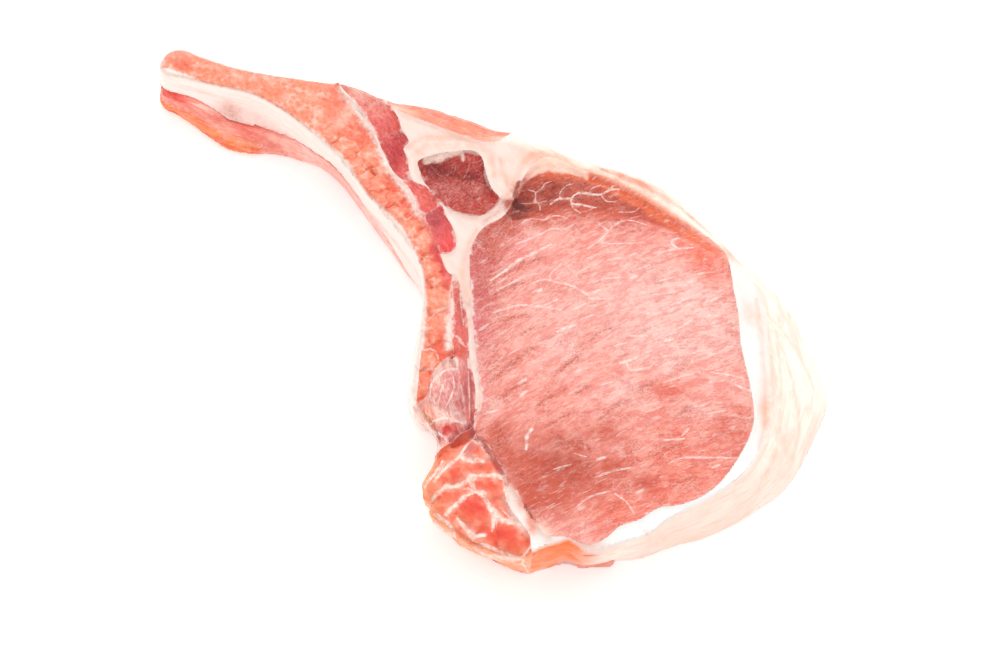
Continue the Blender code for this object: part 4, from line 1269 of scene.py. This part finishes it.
def film_group():
    """The wet film: gloss that varies, small bright glints that the lean and bone materials paint into the
    colour as highlights, and a skin of tiny ripples.
    """
    tree, w, given, out = new_group(
        "wet film",
        (("Position", "Vector", None), ("Size", "Float", 0.0012), ("Gloss", "Float", 0.25),
         ("Dull", "Float", 0.5)),
        (("Roughness", "Float"), ("Glints", "Float"), ("Height", "Float")),
    )
    position = given["Position"]
    pools = w.noise(position, w.times(given["Size"], 4.0), 3.0, 0.6)
    ripples = w.noise(position, given["Size"], 3.0, 0.6)
    sparks = w.noise(position, w.times(given["Size"], 0.4), 2.0, 0.5)
    w.feed(out["Roughness"], w.step(pools, 0.35, 0.65, given["Gloss"], given["Dull"]))
    w.feed(out["Glints"], w.times(w.step(sparks, 0.66, 0.72), w.step(pools, 0.55, 0.45)))
    w.feed(out["Height"], ripples)
    return tree


def border_group():
    """A ragged line of sinew along a border, from a value that is 1 there and 0 two millimetres in."""
    tree, w, given, out = new_group(
        "border",
        (("Edge", "Float", 0.0), ("Strength", "Float", 0.5), ("Position", "Vector", None)),
        (("Mask", "Float"),),
    )
    position = given["Position"]
    ragged = w.noise(position, 0.0026, 3.0, 0.5)
    swing = w.times(w.minus(ragged, 0.5), 2.0)
    reach = w.plus(given["Edge"], swing)
    faded = w.plus(reach, w.times(w.minus(given["Strength"], 1.0), 0.35))
    strength = w.times(given["Strength"], 1.3, clamp=True)
    w.feed(out["Mask"], w.times(w.step(faded, 0.6, 1.0), strength, clamp=True))
    return tree


def tallow_group():
    """Fat: milky blotches and faint long streaks."""
    tree, w, given, out = new_group(
        "tallow",
        (("Position", "Vector", None), ("Run", "Vector", None), ("Streak length", "Float", 12.0),
         ("Streak width", "Float", 0.9)),
        (("Blotches", "Float"), ("Streaks", "Float"), ("Folds", "Float"), ("Height", "Float")),
    )
    position = given["Position"]
    blotches = w.noise(position, 0.006, 3.0, 0.55)
    streaks = w.noise(w.stretched(given["Run"], given["Streak length"], given["Streak width"]), 1.0, 3.0, 0.6,
                      distortion=0.5)
    long = w.times(given["Streak length"], 1.5)
    wide = w.times(given["Streak width"], 3.6)
    folds = w.noise(w.stretched(given["Run"], long, wide, 4.3), 1.0, 4.0, 0.6, distortion=0.8)
    w.feed(out["Blotches"], w.step(blotches, 0.35, 0.68))
    w.feed(out["Folds"], w.step(folds, 0.45, 0.66))
    w.feed(out["Streaks"], w.step(streaks, 0.5, 0.68))
    w.feed(out["Height"], w.plus(streaks, w.times(blotches, 0.6)))
    return tree


STAIN = stain_group()
STRANDS = strand_group()
GRAIN = grain_group()
MARROW = marrow_group()
FILM = film_group()
TALLOW = tallow_group()
BORDER = border_group()


def skin_shader(name, subsurface, radius, coat):
    """A material with its shader ready, its wiring and the object's own coordinates."""
    material = bpy.data.materials.new(name)
    material.use_nodes = True
    tree = material.node_tree
    tree.nodes.clear()
    w = Wiring(tree)
    shader = w.node("ShaderNodeBsdfPrincipled")
    shader.location = (Wiring.COLUMN_WIDTH * Wiring.COLUMNS, 0)
    output = w.node("ShaderNodeOutputMaterial")
    output.location = (Wiring.COLUMN_WIDTH * (Wiring.COLUMNS + 2), 0)
    w.feed(output.inputs["Surface"], shader.outputs["BSDF"])
    wet_flesh = {
        "Subsurface Weight": subsurface, "Subsurface Radius": radius, "Subsurface Scale": 0.001,
        "Coat Weight": coat, "Coat Roughness": 0.16, "IOR": 1.4, "Specular IOR Level": 0.35,
    }
    for name, value in wet_flesh.items():
        shader.inputs[name].default_value = value
    position = w.node("ShaderNodeTexCoord").outputs["Object"]
    return material, w, shader, position


def finish_shader(w, shader, color, roughness, height, depth):
    """Wires the colour, the gloss and the fine relief, depth metres deep, to the shader."""
    bump = w.node("ShaderNodeBump")
    w.feed(bump.inputs["Height"], height)
    bump.inputs["Distance"].default_value = depth
    bump.inputs["Strength"].default_value = 1.0
    w.feed(shader.inputs["Base Color"], color)
    w.feed(shader.inputs["Roughness"], roughness)
    w.feed(shader.inputs["Normal"], bump.outputs["Normal"])


def lay_stains(w, color, position, stains):
    """Each stain is (attribute, colour, patch size, raggedness), laid in order."""
    for attribute, stain, size, ragged in stains:
        mask = w.number(attribute)
        color = w.group(STAIN, Color=color, Stain=stain, Mask=mask, Position=position, Patch_size=size,
                        Raggedness=ragged)["Color"]
    return color


def lay_border(w, color, position, sinew, strength=1.0):
    """Lays the sinew's colour along the piece's borders."""
    mask = w.group(BORDER, Edge=w.number("edge"), Strength=w.number("border"), Position=position)["Mask"]
    return w.mix(w.times(mask, strength), color, sinew)


def lean_material(name, base, stains, over=(), fleck=FLECK_AND_GLINT_WHITE, vein=SINEW, sinew=SINEW, crack=None,
                  flecks=0.4, dashes=0.6, granules=0.5, web=0.2, mottle=0.12, veins=0.85, length=3.0,
                  width=0.7, depth=0.00022, gloss=0.28, calm=False):
    """Meat: its colour and stains, grain of this length and width in millimetres, cracks, veins and border.

    The stains in over lie over the grain. With calm, a field of that name smooths the meat out.
    """
    material, w, shader, position = skin_shader(name, 0.12, (1.0, 0.35, 0.25), 0.12)
    grain = w.group(GRAIN, Position=position, Run=w.vector("run"), Torn=w.number("torn"),
                    Length=length, Width=width)
    film = w.group(FILM, Position=position, Size=0.0011, Gloss=gloss, Dull=0.55)
    color = lay_stains(w, base, position, stains)
    low = (1.0 - 0.5 * mottle, 1.0 - 1.8 * mottle, 1.0 - 1.9 * mottle, 1.0)
    high = (1.0 + 0.2 * mottle, 1.0 + mottle, 1.0 + 1.05 * mottle, 1.0)
    shades = w.mix(w.step(grain["Mottle"], 0.2, 0.8), low, high)
    shading = w.minus(1.0, w.number("calm"), clamp=True) if calm else 1.0
    color = w.mix(shading, color, shades, "MULTIPLY")
    color = w.mix(w.times(w.times(grain["Web"], web), shading), color, vein)
    color = w.mix(w.times(grain["Dashes"], dashes), color, DASH_SHADE, "MULTIPLY")
    color = w.mix(w.times(grain["Granules"], granules), color, GRANULE_SHADE, "MULTIPLY")
    sown = w.times(w.math("MULTIPLY_ADD", shading, 0.6, 0.4), flecks)
    color = w.mix(w.times(grain["Flecks"], sown), color, fleck)
    height = w.plus(grain["Height"], w.times(film["Height"], 0.5))
    if crack:
        cracked = w.group(STRANDS, Strands=w.vector("cracks"), Position=position, Wander=2.6)["Mask"]
        crumbs = w.step(w.noise(position, 0.00055, 2.0, 0.6), 0.58, 0.42, 0.15, 1.0)
        cracked = w.times(cracked, crumbs)
        color = w.mix(w.times(cracked, 0.75), color, crack)
        height = w.minus(height, w.times(cracked, 0.25))
    veined = w.group(STRANDS, Strands=w.vector("veins"), Position=position)["Mask"]
    color = w.mix(w.times(veined, veins), color, vein)
    color = lay_stains(w, color, position, over)
    color = lay_border(w, color, position, sinew)
    # Painted highlight: small white glints laid into the colour
    color = w.mix(w.times(film["Glints"], 0.3), color, FLECK_AND_GLINT_WHITE)
    finish_shader(w, shader, color, film["Roughness"], height, depth)
    return material


def bone_material(name, base, stains, marrow, wall, cell, line=SINEW):
    """Sawn bone: spongy inside, with smooth streaked skin on its walls and thin pale lines."""
    material, w, shader, position = skin_shader(name, 0.12, (1.0, 0.4, 0.3), 0.1)
    sponge = w.group(MARROW, Position=position, Cell=cell)
    film = w.group(FILM, Position=position, Size=0.0010, Gloss=0.3, Dull=0.55)
    skin = w.number("skin")
    sawn = w.minus(1.0, skin, clamp=True)
    color = w.mix(w.times(sponge["Walls"], 0.85), base, wall)
    color = w.mix(w.times(sponge["Marrow"], 0.85), color, marrow)
    color = lay_stains(w, color, position, stains)
    lined = w.group(STRANDS, Strands=w.vector("veins"), Position=position, Wander=1.3)["Mask"]
    color = w.mix(w.times(lined, 0.85), color, line)
    streaks = w.noise(w.stretched(w.vector("run"), 11.0, 0.9), 1.0, 3.0, 0.6)
    streaked = w.times(w.step(streaks, 0.5, 0.7), skin)
    color = w.mix(w.times(streaked, 0.5), color, on_wall(253, 206, 192))
    # Painted highlight: small white glints laid into the colour
    color = w.mix(w.times(film["Glints"], 0.3), color, FLECK_AND_GLINT_WHITE)
    relief = w.times(sponge["Height"], sawn)
    height = w.plus(relief, w.times(film["Height"], 0.4))
    finish_shader(w, shader, color, film["Roughness"], height, 0.00025)
    return material


def fat_material(name, base, stains, streak, blotch):
    """Fat: milky blotches and streaks, stronger on its walls and where the hide was, and an orange rind."""
    material, w, shader, position = skin_shader(name, 0.25, (1.0, 0.6, 0.45), 0.1)
    tallow = w.group(TALLOW, Position=position, Run=w.vector("run"))
    film = w.group(FILM, Position=position, Size=0.0016, Gloss=0.3, Dull=0.5)
    color = w.mix(w.times(tallow["Blotches"], 0.4), base, blotch)
    color = lay_stains(w, color, position, stains)
    coat = w.plus(w.number("skin"), w.number("hide"), clamp=True)
    coat = w.times(coat, w.minus(1.0, w.number("orange"), clamp=True))
    color = w.mix(w.times(tallow["Folds"], w.times(coat, 0.6)), color, blotch)
    color = w.mix(w.times(tallow["Streaks"], w.math("MULTIPLY_ADD", coat, 0.45, 0.15)), color, streak)
    rind = w.times(w.number("orange"), 0.5)
    color = w.mix(w.times(tallow["Folds"], rind), color, on_wall(253, 164, 108))
    color = lay_border(w, color, position, display(253, 202, 188), 0.6)
    height = w.plus(w.times(tallow["Height"], 0.8), w.times(film["Height"], 0.5))
    finish_shader(w, shader, color, film["Roughness"], height, 0.0002)
    return material


MATERIALS = {
    "loin_eye": lean_material(
        "salmon lean", display(254, 169, 155),
        (
            ("pale", display(255, 194, 184), 0.006, 0.6),
            ("mauve", display(248, 152, 156), 0.004, 0.6),
            ("warm", display(250, 128, 104), 0.005, 0.7),
            ("brown", display(217, 95, 71), 0.005, 0.9),
            # dark: partly the meat's own colour, partly painted shade in the sunk band
            ("dark", display(156, 60, 44), 0.0024, 1.0),
            # painted glow and shade on the slope down from the far rim
            ("painted_rim_glow", display(243, 117, 76), 0.004, 0.8),
            # painted shade in the deep pocket at the left end of the sunk band
            ("painted_crevice_shade", display(106, 36, 30), 0.0012, 0.8),
        ),
        flecks=0.8, dashes=0.6, granules=0.75, mottle=0.17, web=0.28, calm=True, veins=0.95,
        vein=display(255, 230, 222), crack=display(206, 92, 62),
        # The crescent's fat colour is made lighter than on a flat cut face: painted light against the shade
        # on its slope
        over=(("cap", display(255, 214, 194, 1.14), 0.004, 0.3),),
    ),
    "small_muscle": lean_material(
        "dark lean", display(240, 104, 94),
        (
            ("mauve", display(246, 138, 132), 0.002, 0.8),
            ("warm", display(240, 108, 94), 0.003, 0.6),
            ("dark", display(176, 64, 64), 0.0016, 0.9),
            ("pale", display(250, 152, 142), 0.0015, 0.9),
        ),
        flecks=0.6, dashes=0.8, granules=0.9, web=0.25, mottle=0.28, veins=0.9, vein=display(240, 160, 142),
        length=1.3, width=0.5, depth=0.0006, gloss=0.18,
        # The fat lumps are made lighter than on a flat cut face: painted light against the shade in the
        # muscle's hollow
        over=(("lumps", display(255, 220, 206, 1.04), 0.0011, 0.9),),
    ),
    "strip_muscle": lean_material(
        "rib strip lean", display(246, 112, 106),
        (
            ("pale", display(254, 186, 168), 0.0016, 0.9),
            ("warm", display(249, 108, 94), 0.002, 0.6),
            ("dark", display(216, 72, 74), 0.002, 0.6),
        ),
        flecks=0.25, dashes=0.5, granules=0.5, mottle=0.14, length=1.8, width=0.6, depth=0.0003,
        over=(("tallow", display(254, 222, 206), 0.004, 1.0),),
    ),
    "bean_muscle": lean_material(
        "bean lean", display(236, 96, 96),
        (
            ("pale", display(252, 170, 160), 0.0015, 0.8),
            ("warm", display(248, 76, 72), 0.002, 0.5),
            ("dark", display(188, 64, 72), 0.002, 0.6),
        ),
        flecks=0.15, dashes=0.4, length=2.4, width=0.6,
    ),
    "seam_muscle": lean_material(
        "seam lean", display(246, 120, 108),
        (
            ("pale", display(253, 200, 188), 0.0012, 0.8),
            ("mauve", display(214, 122, 122), 0.0016, 0.7),
            ("warm", display(230, 96, 74), 0.0014, 0.8),
            ("dark", display(190, 84, 82), 0.0014, 0.8),
        ),
        flecks=0.4, dashes=0.4, length=4.5, width=0.5,
    ),
    "joint_capsule": lean_material(
        "joint capsule", display(255, 206, 194, 1.24),
        (
            ("mauve", display(238, 138, 140), 0.002, 0.8),
            ("warm", display(252, 154, 110), 0.0016, 0.9),
            ("dark", display(200, 76, 72), 0.0016, 0.8),
            ("blood", display(226, 60, 54), 0.0012, 0.8),
            ("skin", on_wall(254, 216, 204), 0.002, 0.3),
        ),
        flecks=0.4, dashes=0.5, granules=0.6, mottle=0.22, vein=FLECK_AND_GLINT_WHITE, veins=1.0, length=3.4, width=0.6,
    ),
    "far_lean": lean_material(
        "pale lean", display(254, 182, 156),
        (
            ("warm", display(252, 152, 122), 0.003, 0.6),
            ("pale", display(254, 224, 204), 0.003, 0.6),
            ("skin", display(252, 120, 88), 0.003, 0.6),
        ),
        flecks=0.4, dashes=0.3, length=9.0, width=0.8, over=(("tallow", display(254, 222, 206), 0.004, 1.0),),
    ),
    "under_meat": lean_material(
        "lip meat", on_wall(253, 160, 143),
        (
            ("pale", on_wall(253, 182, 168), 0.003, 0.7),
            ("warm", on_wall(254, 140, 80), 0.002, 0.9),
            ("dark", on_wall(238, 46, 36), 0.003, 0.5),
        ),
        fleck=on_wall(254, 222, 210), flecks=0.7, dashes=0.4, mottle=0.18, length=9.0, width=0.8,
        sinew=on_wall(254, 208, 198),
    ),
    "lean_tongue": lean_material(
        "tongue lean", on_wall(246, 158, 132),
        (("dark", on_wall(228, 128, 104), 0.003, 0.6),),
        flecks=0.2,
    ),
    "rib_bone": bone_material(
        "rib bone", display(253, 148, 116),
        (
            ("warm", display(253, 166, 146), 0.003, 0.6),
            # dark and pale also carry painted shade between the rib's lobes and a painted highlight on their
            # tops
            ("dark", display(244, 104, 74), 0.002, 0.8),
            ("pale", display(254, 196, 174), 0.0022, 0.9),
            ("blood", display(240, 88, 84), 0.002, 0.8),
            ("white", display(255, 232, 222, 1.24), 0.0011, 1.0),
            ("skin", on_wall(254, 232, 224), 0.004, 0.2),
            ("flesh", on_wall(252, 184, 172), 0.003, 0.7),
            # painted shade: a greyish shadow on the rib's near wall
            ("hollow", on_wall(218, 156, 144), 0.002, 0.8),
        ),
        marrow=display(246, 108, 76), wall=display(254, 200, 180), cell=0.0013,
    ),
    "chine_bone": bone_material(
        "chine bone", display(251, 114, 80),
        (
            ("halo", display(254, 190, 170), 0.0016, 1.0),
            ("warm", display(253, 150, 110), 0.003, 0.6),
            ("dark", display(240, 78, 58), 0.003, 0.6),
            ("mauve", display(212, 120, 118), 0.0016, 0.8),
            ("joint", display(186, 84, 80), 0.0014, 0.7),
            ("pale", display(254, 222, 212), 0.002, 0.8),
            ("skin", on_wall(253, 158, 116), 0.004, 0.5),
        ),
        marrow=display(244, 96, 68), wall=display(253, 162, 130), cell=0.0026,
        # The pale lines are made lighter than on a flat cut face: painted light against the shade where they
        # run over slopes
        line=display(255, 226, 214, 1.12),
    ),
    "fat": fat_material(
        "fat", display(253, 226, 216),
        (
            ("white", display(255, 254, 252), 0.004, 0.3),
            ("hide", display(254, 229, 216), 0.005, 0.6),
            ("skin", on_wall(253, 229, 216), 0.006, 0.3),
            # partly tan, partly painted shade on the lower walls
            ("tan_and_wall_shade", display(248, 203, 184), 0.004, 0.8),
            ("warm", display(253, 184, 158), 0.003, 0.5),
            # painted shade in the crease by the left end of the eye's sunk band
            ("brown", display(184, 98, 82), 0.0014, 0.9),
            # painted shadow line at the left wall of the sunk band
            ("painted_rim_shadow", display(158, 72, 60), 0.0012, 0.4),
            ("flesh", display(251, 156, 130), 0.003, 0.9),
            # painted grey shade on the near walls
            ("painted_wall_shade", on_wall(238, 210, 194), 0.005, 0.7),
            ("orange", display(253, 119, 50, 1.1), 0.0045, 0.9),
        ),
        streak=display(252, 212, 197, 1.2), blotch=display(252, 212, 196),
    ),
}


# ---------------------------------------------------------------------------------------------------- pieces

FINE = 0.34
MIDDLING = 0.36
COARSE = 0.4
ALONG_RIB = run_along(RIB_NEAR_EDGE)
ALONG_STRIP = run_along(RIB_WHITE_BAND)
PIECES = {
    # node: (piece, quad size, whether its top faces are halved, relief, layers, veins, grain, slot)
    "loin_eye": ("eye_of_loin", 0.6, True, eye_relief, eye_layers, EYE_VEINS, run_of_eye, "lean"),
    "fat": ("fat_cover", 0.469, False, fat_relief, fat_layers, (), run_along(FAT_OUTER), "fat"),
    "rib_bone": ("rib", 0.45, True, rib_relief, rib_layers, RIB_LINES, ALONG_RIB, "bone"),
    "chine_bone": ("chine", MIDDLING, False, chine_relief, chine_layers, CHINE_MEMBRANES, run_straight(-50),
                   "bone"),
    "small_muscle": ("small_lean", FINE, False, small_relief, small_layers, SMALL_VEINS, run_straight(35),
                     "dark_lean"),
    "strip_muscle": ("rib_strip", MIDDLING, False, strip_relief, strip_layers, (), ALONG_STRIP, "dark_lean"),
    "bean_muscle": ("bean_lean", FINE, False, plain_relief, bean_layers, (), ALONG_STRIP, "dark_lean"),
    "seam_muscle": ("seam_lean", FINE, False, plain_relief, seam_layers, SEAM_LINES, run_straight(-85),
                    "dark_lean"),
    "joint_capsule": ("joint_gristle", FINE, False, capsule_relief, capsule_layers, CAPSULE_ARCS,
                      run_straight(-75), "gristle"),
    "far_lean": ("far_strip", COARSE, False, plain_relief, far_lean_layers, (), run_straight(-22),
                 "pale_lean"),
    "under_meat": ("rib_lip", COARSE, False, plain_relief, under_layers, (), ALONG_RIB, "pale_lean"),
    "lean_tongue": ("lean_lip", FINE, False, plain_relief, tongue_layers, (), run_straight(10), "pale_lean"),
}
DENTS = {
    # node: (size, depth) of the small dents on its cut faces, then on its open walls
    "loin_eye": (0.9, 0.34, 3.0, 0.4),
    "fat": (2.4, 0.26, 5.0, 0.7),
    "rib_bone": (0.9, 0.5, 3.0, 0.45),
    "chine_bone": (1.1, 0.4, 2.4, 0.9),
    "small_muscle": (0.9, 0.5, 3.0, 0.4),
    "strip_muscle": (0.9, 0.4, 3.0, 0.4),
    "bean_muscle": (1.2, 0.25, 3.0, 0.4),
    "seam_muscle": (1.0, 0.3, 3.0, 0.4),
    "joint_capsule": (1.2, 0.4, 2.0, 0.9),
    "far_lean": (1.4, 0.3, 3.0, 0.5),
    "under_meat": (1.6, 0.5, 1.8, 1.1),
    "lean_tongue": (1.4, 0.3, 2.0, 0.5),
}


WORKED = 5.0  # how far down from each cut face the relief fades out
NEARBY = 3.0  # how far from a point its neighbours are looked for
ROUNDING = 0.35  # how deep the open edges are rounded
DEEPEST = 3.5
UNDER_DEEPEST = 0.6  # the same on the underside
LIPS = ("under_meat", "lean_tongue")  # these lie under the edge of other pieces and don't border them


def shape_piece(node, name, size, halve, relief):
    """The node's solid with its gaps closed and its surface worked.

    Returns it with each point's distance from the piece's borders and its height before the work.
    """
    piece = copy_of_node(node, name)
    meet_neighbours(node, piece)
    cut_into_quads(piece, size)
    if halve:
        halve_top_faces(piece)
    points = points_of(piece)
    normals = normals_of(piece)
    lay_flat(points, size)
    shut = close_gaps(node, piece, points, normals)
    others = sorted(set(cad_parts) - {node, *LIPS})
    xy = points[:, :2].copy()
    flat = points[:, 2].copy()
    upper = smooth(flat, THICKNESS - WORKED, THICKNESS)
    lower = 1.0 - smooth(flat, 0.0, WORKED)
    edge = np.clip(distance_to(points, others, NEARBY) - GAP / 2, 0.0, None)
    own = distance_to(points, [node], NEARBY)
    rounded = 1.0 - smooth(np.where(edge > own + 0.6, own, NEARBY), 0.0, 1.0)
    meet = smooth(edge, 0.0, 1.0)
    depth = common_relief(xy) + meet * relief(xy) + ROUNDING * rounded
    depth = np.clip(depth, 0.0, DEEPEST)
    points[:, 2] -= depth * upper
    points[:, 2] += np.clip(0.35 * depth, 0.0, UNDER_DEEPEST) * lower * smooth(normals[:, 2], -0.3, -0.8)
    place_points(piece, points)
    open_wall = ~shut & (np.abs(normals[:, 2]) < 0.85)
    groups = {
        "top": smooth(normals[:, 2], 0.4, 0.8) * (points[:, 2] > 1.0) * meet,
        "skin": open_wall * smooth(points[:, 2], 0.0, 1.0) * smooth(edge, 0.3, 2.2),
        "under": smooth(-normals[:, 2], 0.4, 0.8) * (points[:, 2] < 1.5) * meet,
    }
    for group, weights in groups.items():
        vertex_group(piece, group, weights)
    dent, deep, wall_dent, wall_deep = DENTS[node]
    grainy = node in ("loin_eye", "far_lean", "under_meat")
    roughen(piece, "top", dent, deep, along_grain=grainy)
    roughen(piece, "under", dent, -deep, along_grain=grainy)
    roughen(piece, "skin", wall_dent, wall_deep, direction="NORMAL")
    piece.vertex_groups.clear()
    return piece, edge, flat


def paint_piece(piece, edge, flat, layers, veins, run):
    """Stores where the colours, veins, cracks and borders lie, and how the grain runs."""
    points = points_of(piece)
    points[:, 2] = flat  # the colours are laid out as on the flat cut, before the surface was worked
    xy = points[:, :2].copy()
    for name, values in layers(xy, points).items():
        give_attribute(piece, name, np.clip(values + np.zeros(len(xy)), 0.0, 1.0))
    give_attribute(piece, "edge", np.clip(1.0 - edge / 2.0, 0.0, 1.0))
    give_attribute(piece, "veins", strand_field(xy, veins))
    give_attribute(piece, "run", run(xy, points[:, 2]))
    if piece.name == "eye_of_loin":
        give_attribute(piece, "cracks", strand_field(xy, EYE_CRACKS))


def dress_piece(piece, node):
    """Gives the piece its material and its place in the model."""
    piece.data.materials.clear()
    piece.data.materials.append(MATERIALS[node])
    make_active(piece)
    bpy.ops.object.shade_smooth_by_angle(angle=math.radians(48.0))
    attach(piece, "root")
    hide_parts(node)


for node, (name, size, halve, relief, layers, veins, run, slot) in PIECES.items():
    chop_piece, edge, flat = shape_piece(node, name, size, halve, relief)
    paint_piece(chop_piece, edge, flat, layers, veins, run)
    dress_piece(chop_piece, node)
bpy.data.objects.remove(GRAIN_GUIDE)


# ----------------------------------------------------------------------------------- floor, light and camera

def pale_floor():
    """A wide, nearly white board just under the chop."""
    bpy.ops.object.select_all(action="DESELECT")
    bpy.ops.mesh.primitive_plane_add(size=6.0, location=(0.0, 0.0, -0.0001))
    floor = bpy.context.active_object
    floor.name = "floor"
    material = bpy.data.materials.new("pale floor")
    material.use_nodes = True
    w = Wiring(material.node_tree)
    shader = material.node_tree.nodes["Principled BSDF"]
    position = w.node("ShaderNodeTexCoord").outputs["Object"]
    haze = w.noise(position, 0.4, 2.0)
    w.feed(shader.inputs["Base Color"], w.mix(haze, (0.74, 0.72, 0.71, 1.0), (0.76, 0.742, 0.73, 1.0)))
    glow = {"Roughness": 0.7, "Emission Color": (1.0, 0.98, 0.97, 1.0), "Emission Strength": 0.36}
    for name, value in glow.items():
        shader.inputs[name].default_value = value
    floor.data.materials.append(material)


def soft_box(name, place, target, size, power):
    """A round lamp, size metres across, aimed at the target."""
    lamp = bpy.data.lights.new(name, "AREA")
    lamp.shape = "DISK"
    lamp.size = size
    lamp.energy = power
    box = bpy.data.objects.new(name, lamp)
    bpy.context.collection.objects.link(box)
    box.location = place
    box.rotation_euler = (Vector(target) - Vector(place)).to_track_quat("-Z", "Y").to_euler()


def studio():
    """Even white light all round and a window behind, to the right."""
    world = bpy.data.worlds.new("white studio")
    world.use_nodes = True
    background = world.node_tree.nodes["Background"]
    background.inputs["Color"].default_value = (1.0, 0.99, 0.985, 1.0)
    background.inputs["Strength"].default_value = 1.15
    bpy.context.scene.world = world
    soft_box("window", (0.35, 0.75, 0.95), (0.0, 0.0, 0.0), 0.9, 7.0)
    bpy.context.scene.view_settings.view_transform = "Standard"


def camera():
    """Looks down at the chop from the near side."""
    look = math.radians(64.0)  # below level
    distance = 0.590
    target = Vector((SHIFT[0] + 2.0, SHIFT[1] - 7.0, THICKNESS / 2 - 0.25)) * MM
    lens = bpy.data.cameras.new("camera")
    lens.lens = 85.0
    lens.sensor_width = 36.0
    lens.clip_start = 0.01
    view = bpy.data.objects.new("camera", lens)
    bpy.context.collection.objects.link(view)
    view.location = target + distance * Vector((0.0, -math.cos(look), math.sin(look)))
    view.rotation_euler = (math.pi / 2 - look, 0.0, 0.0)
    bpy.context.scene.camera = view


pale_floor()
studio()
camera()
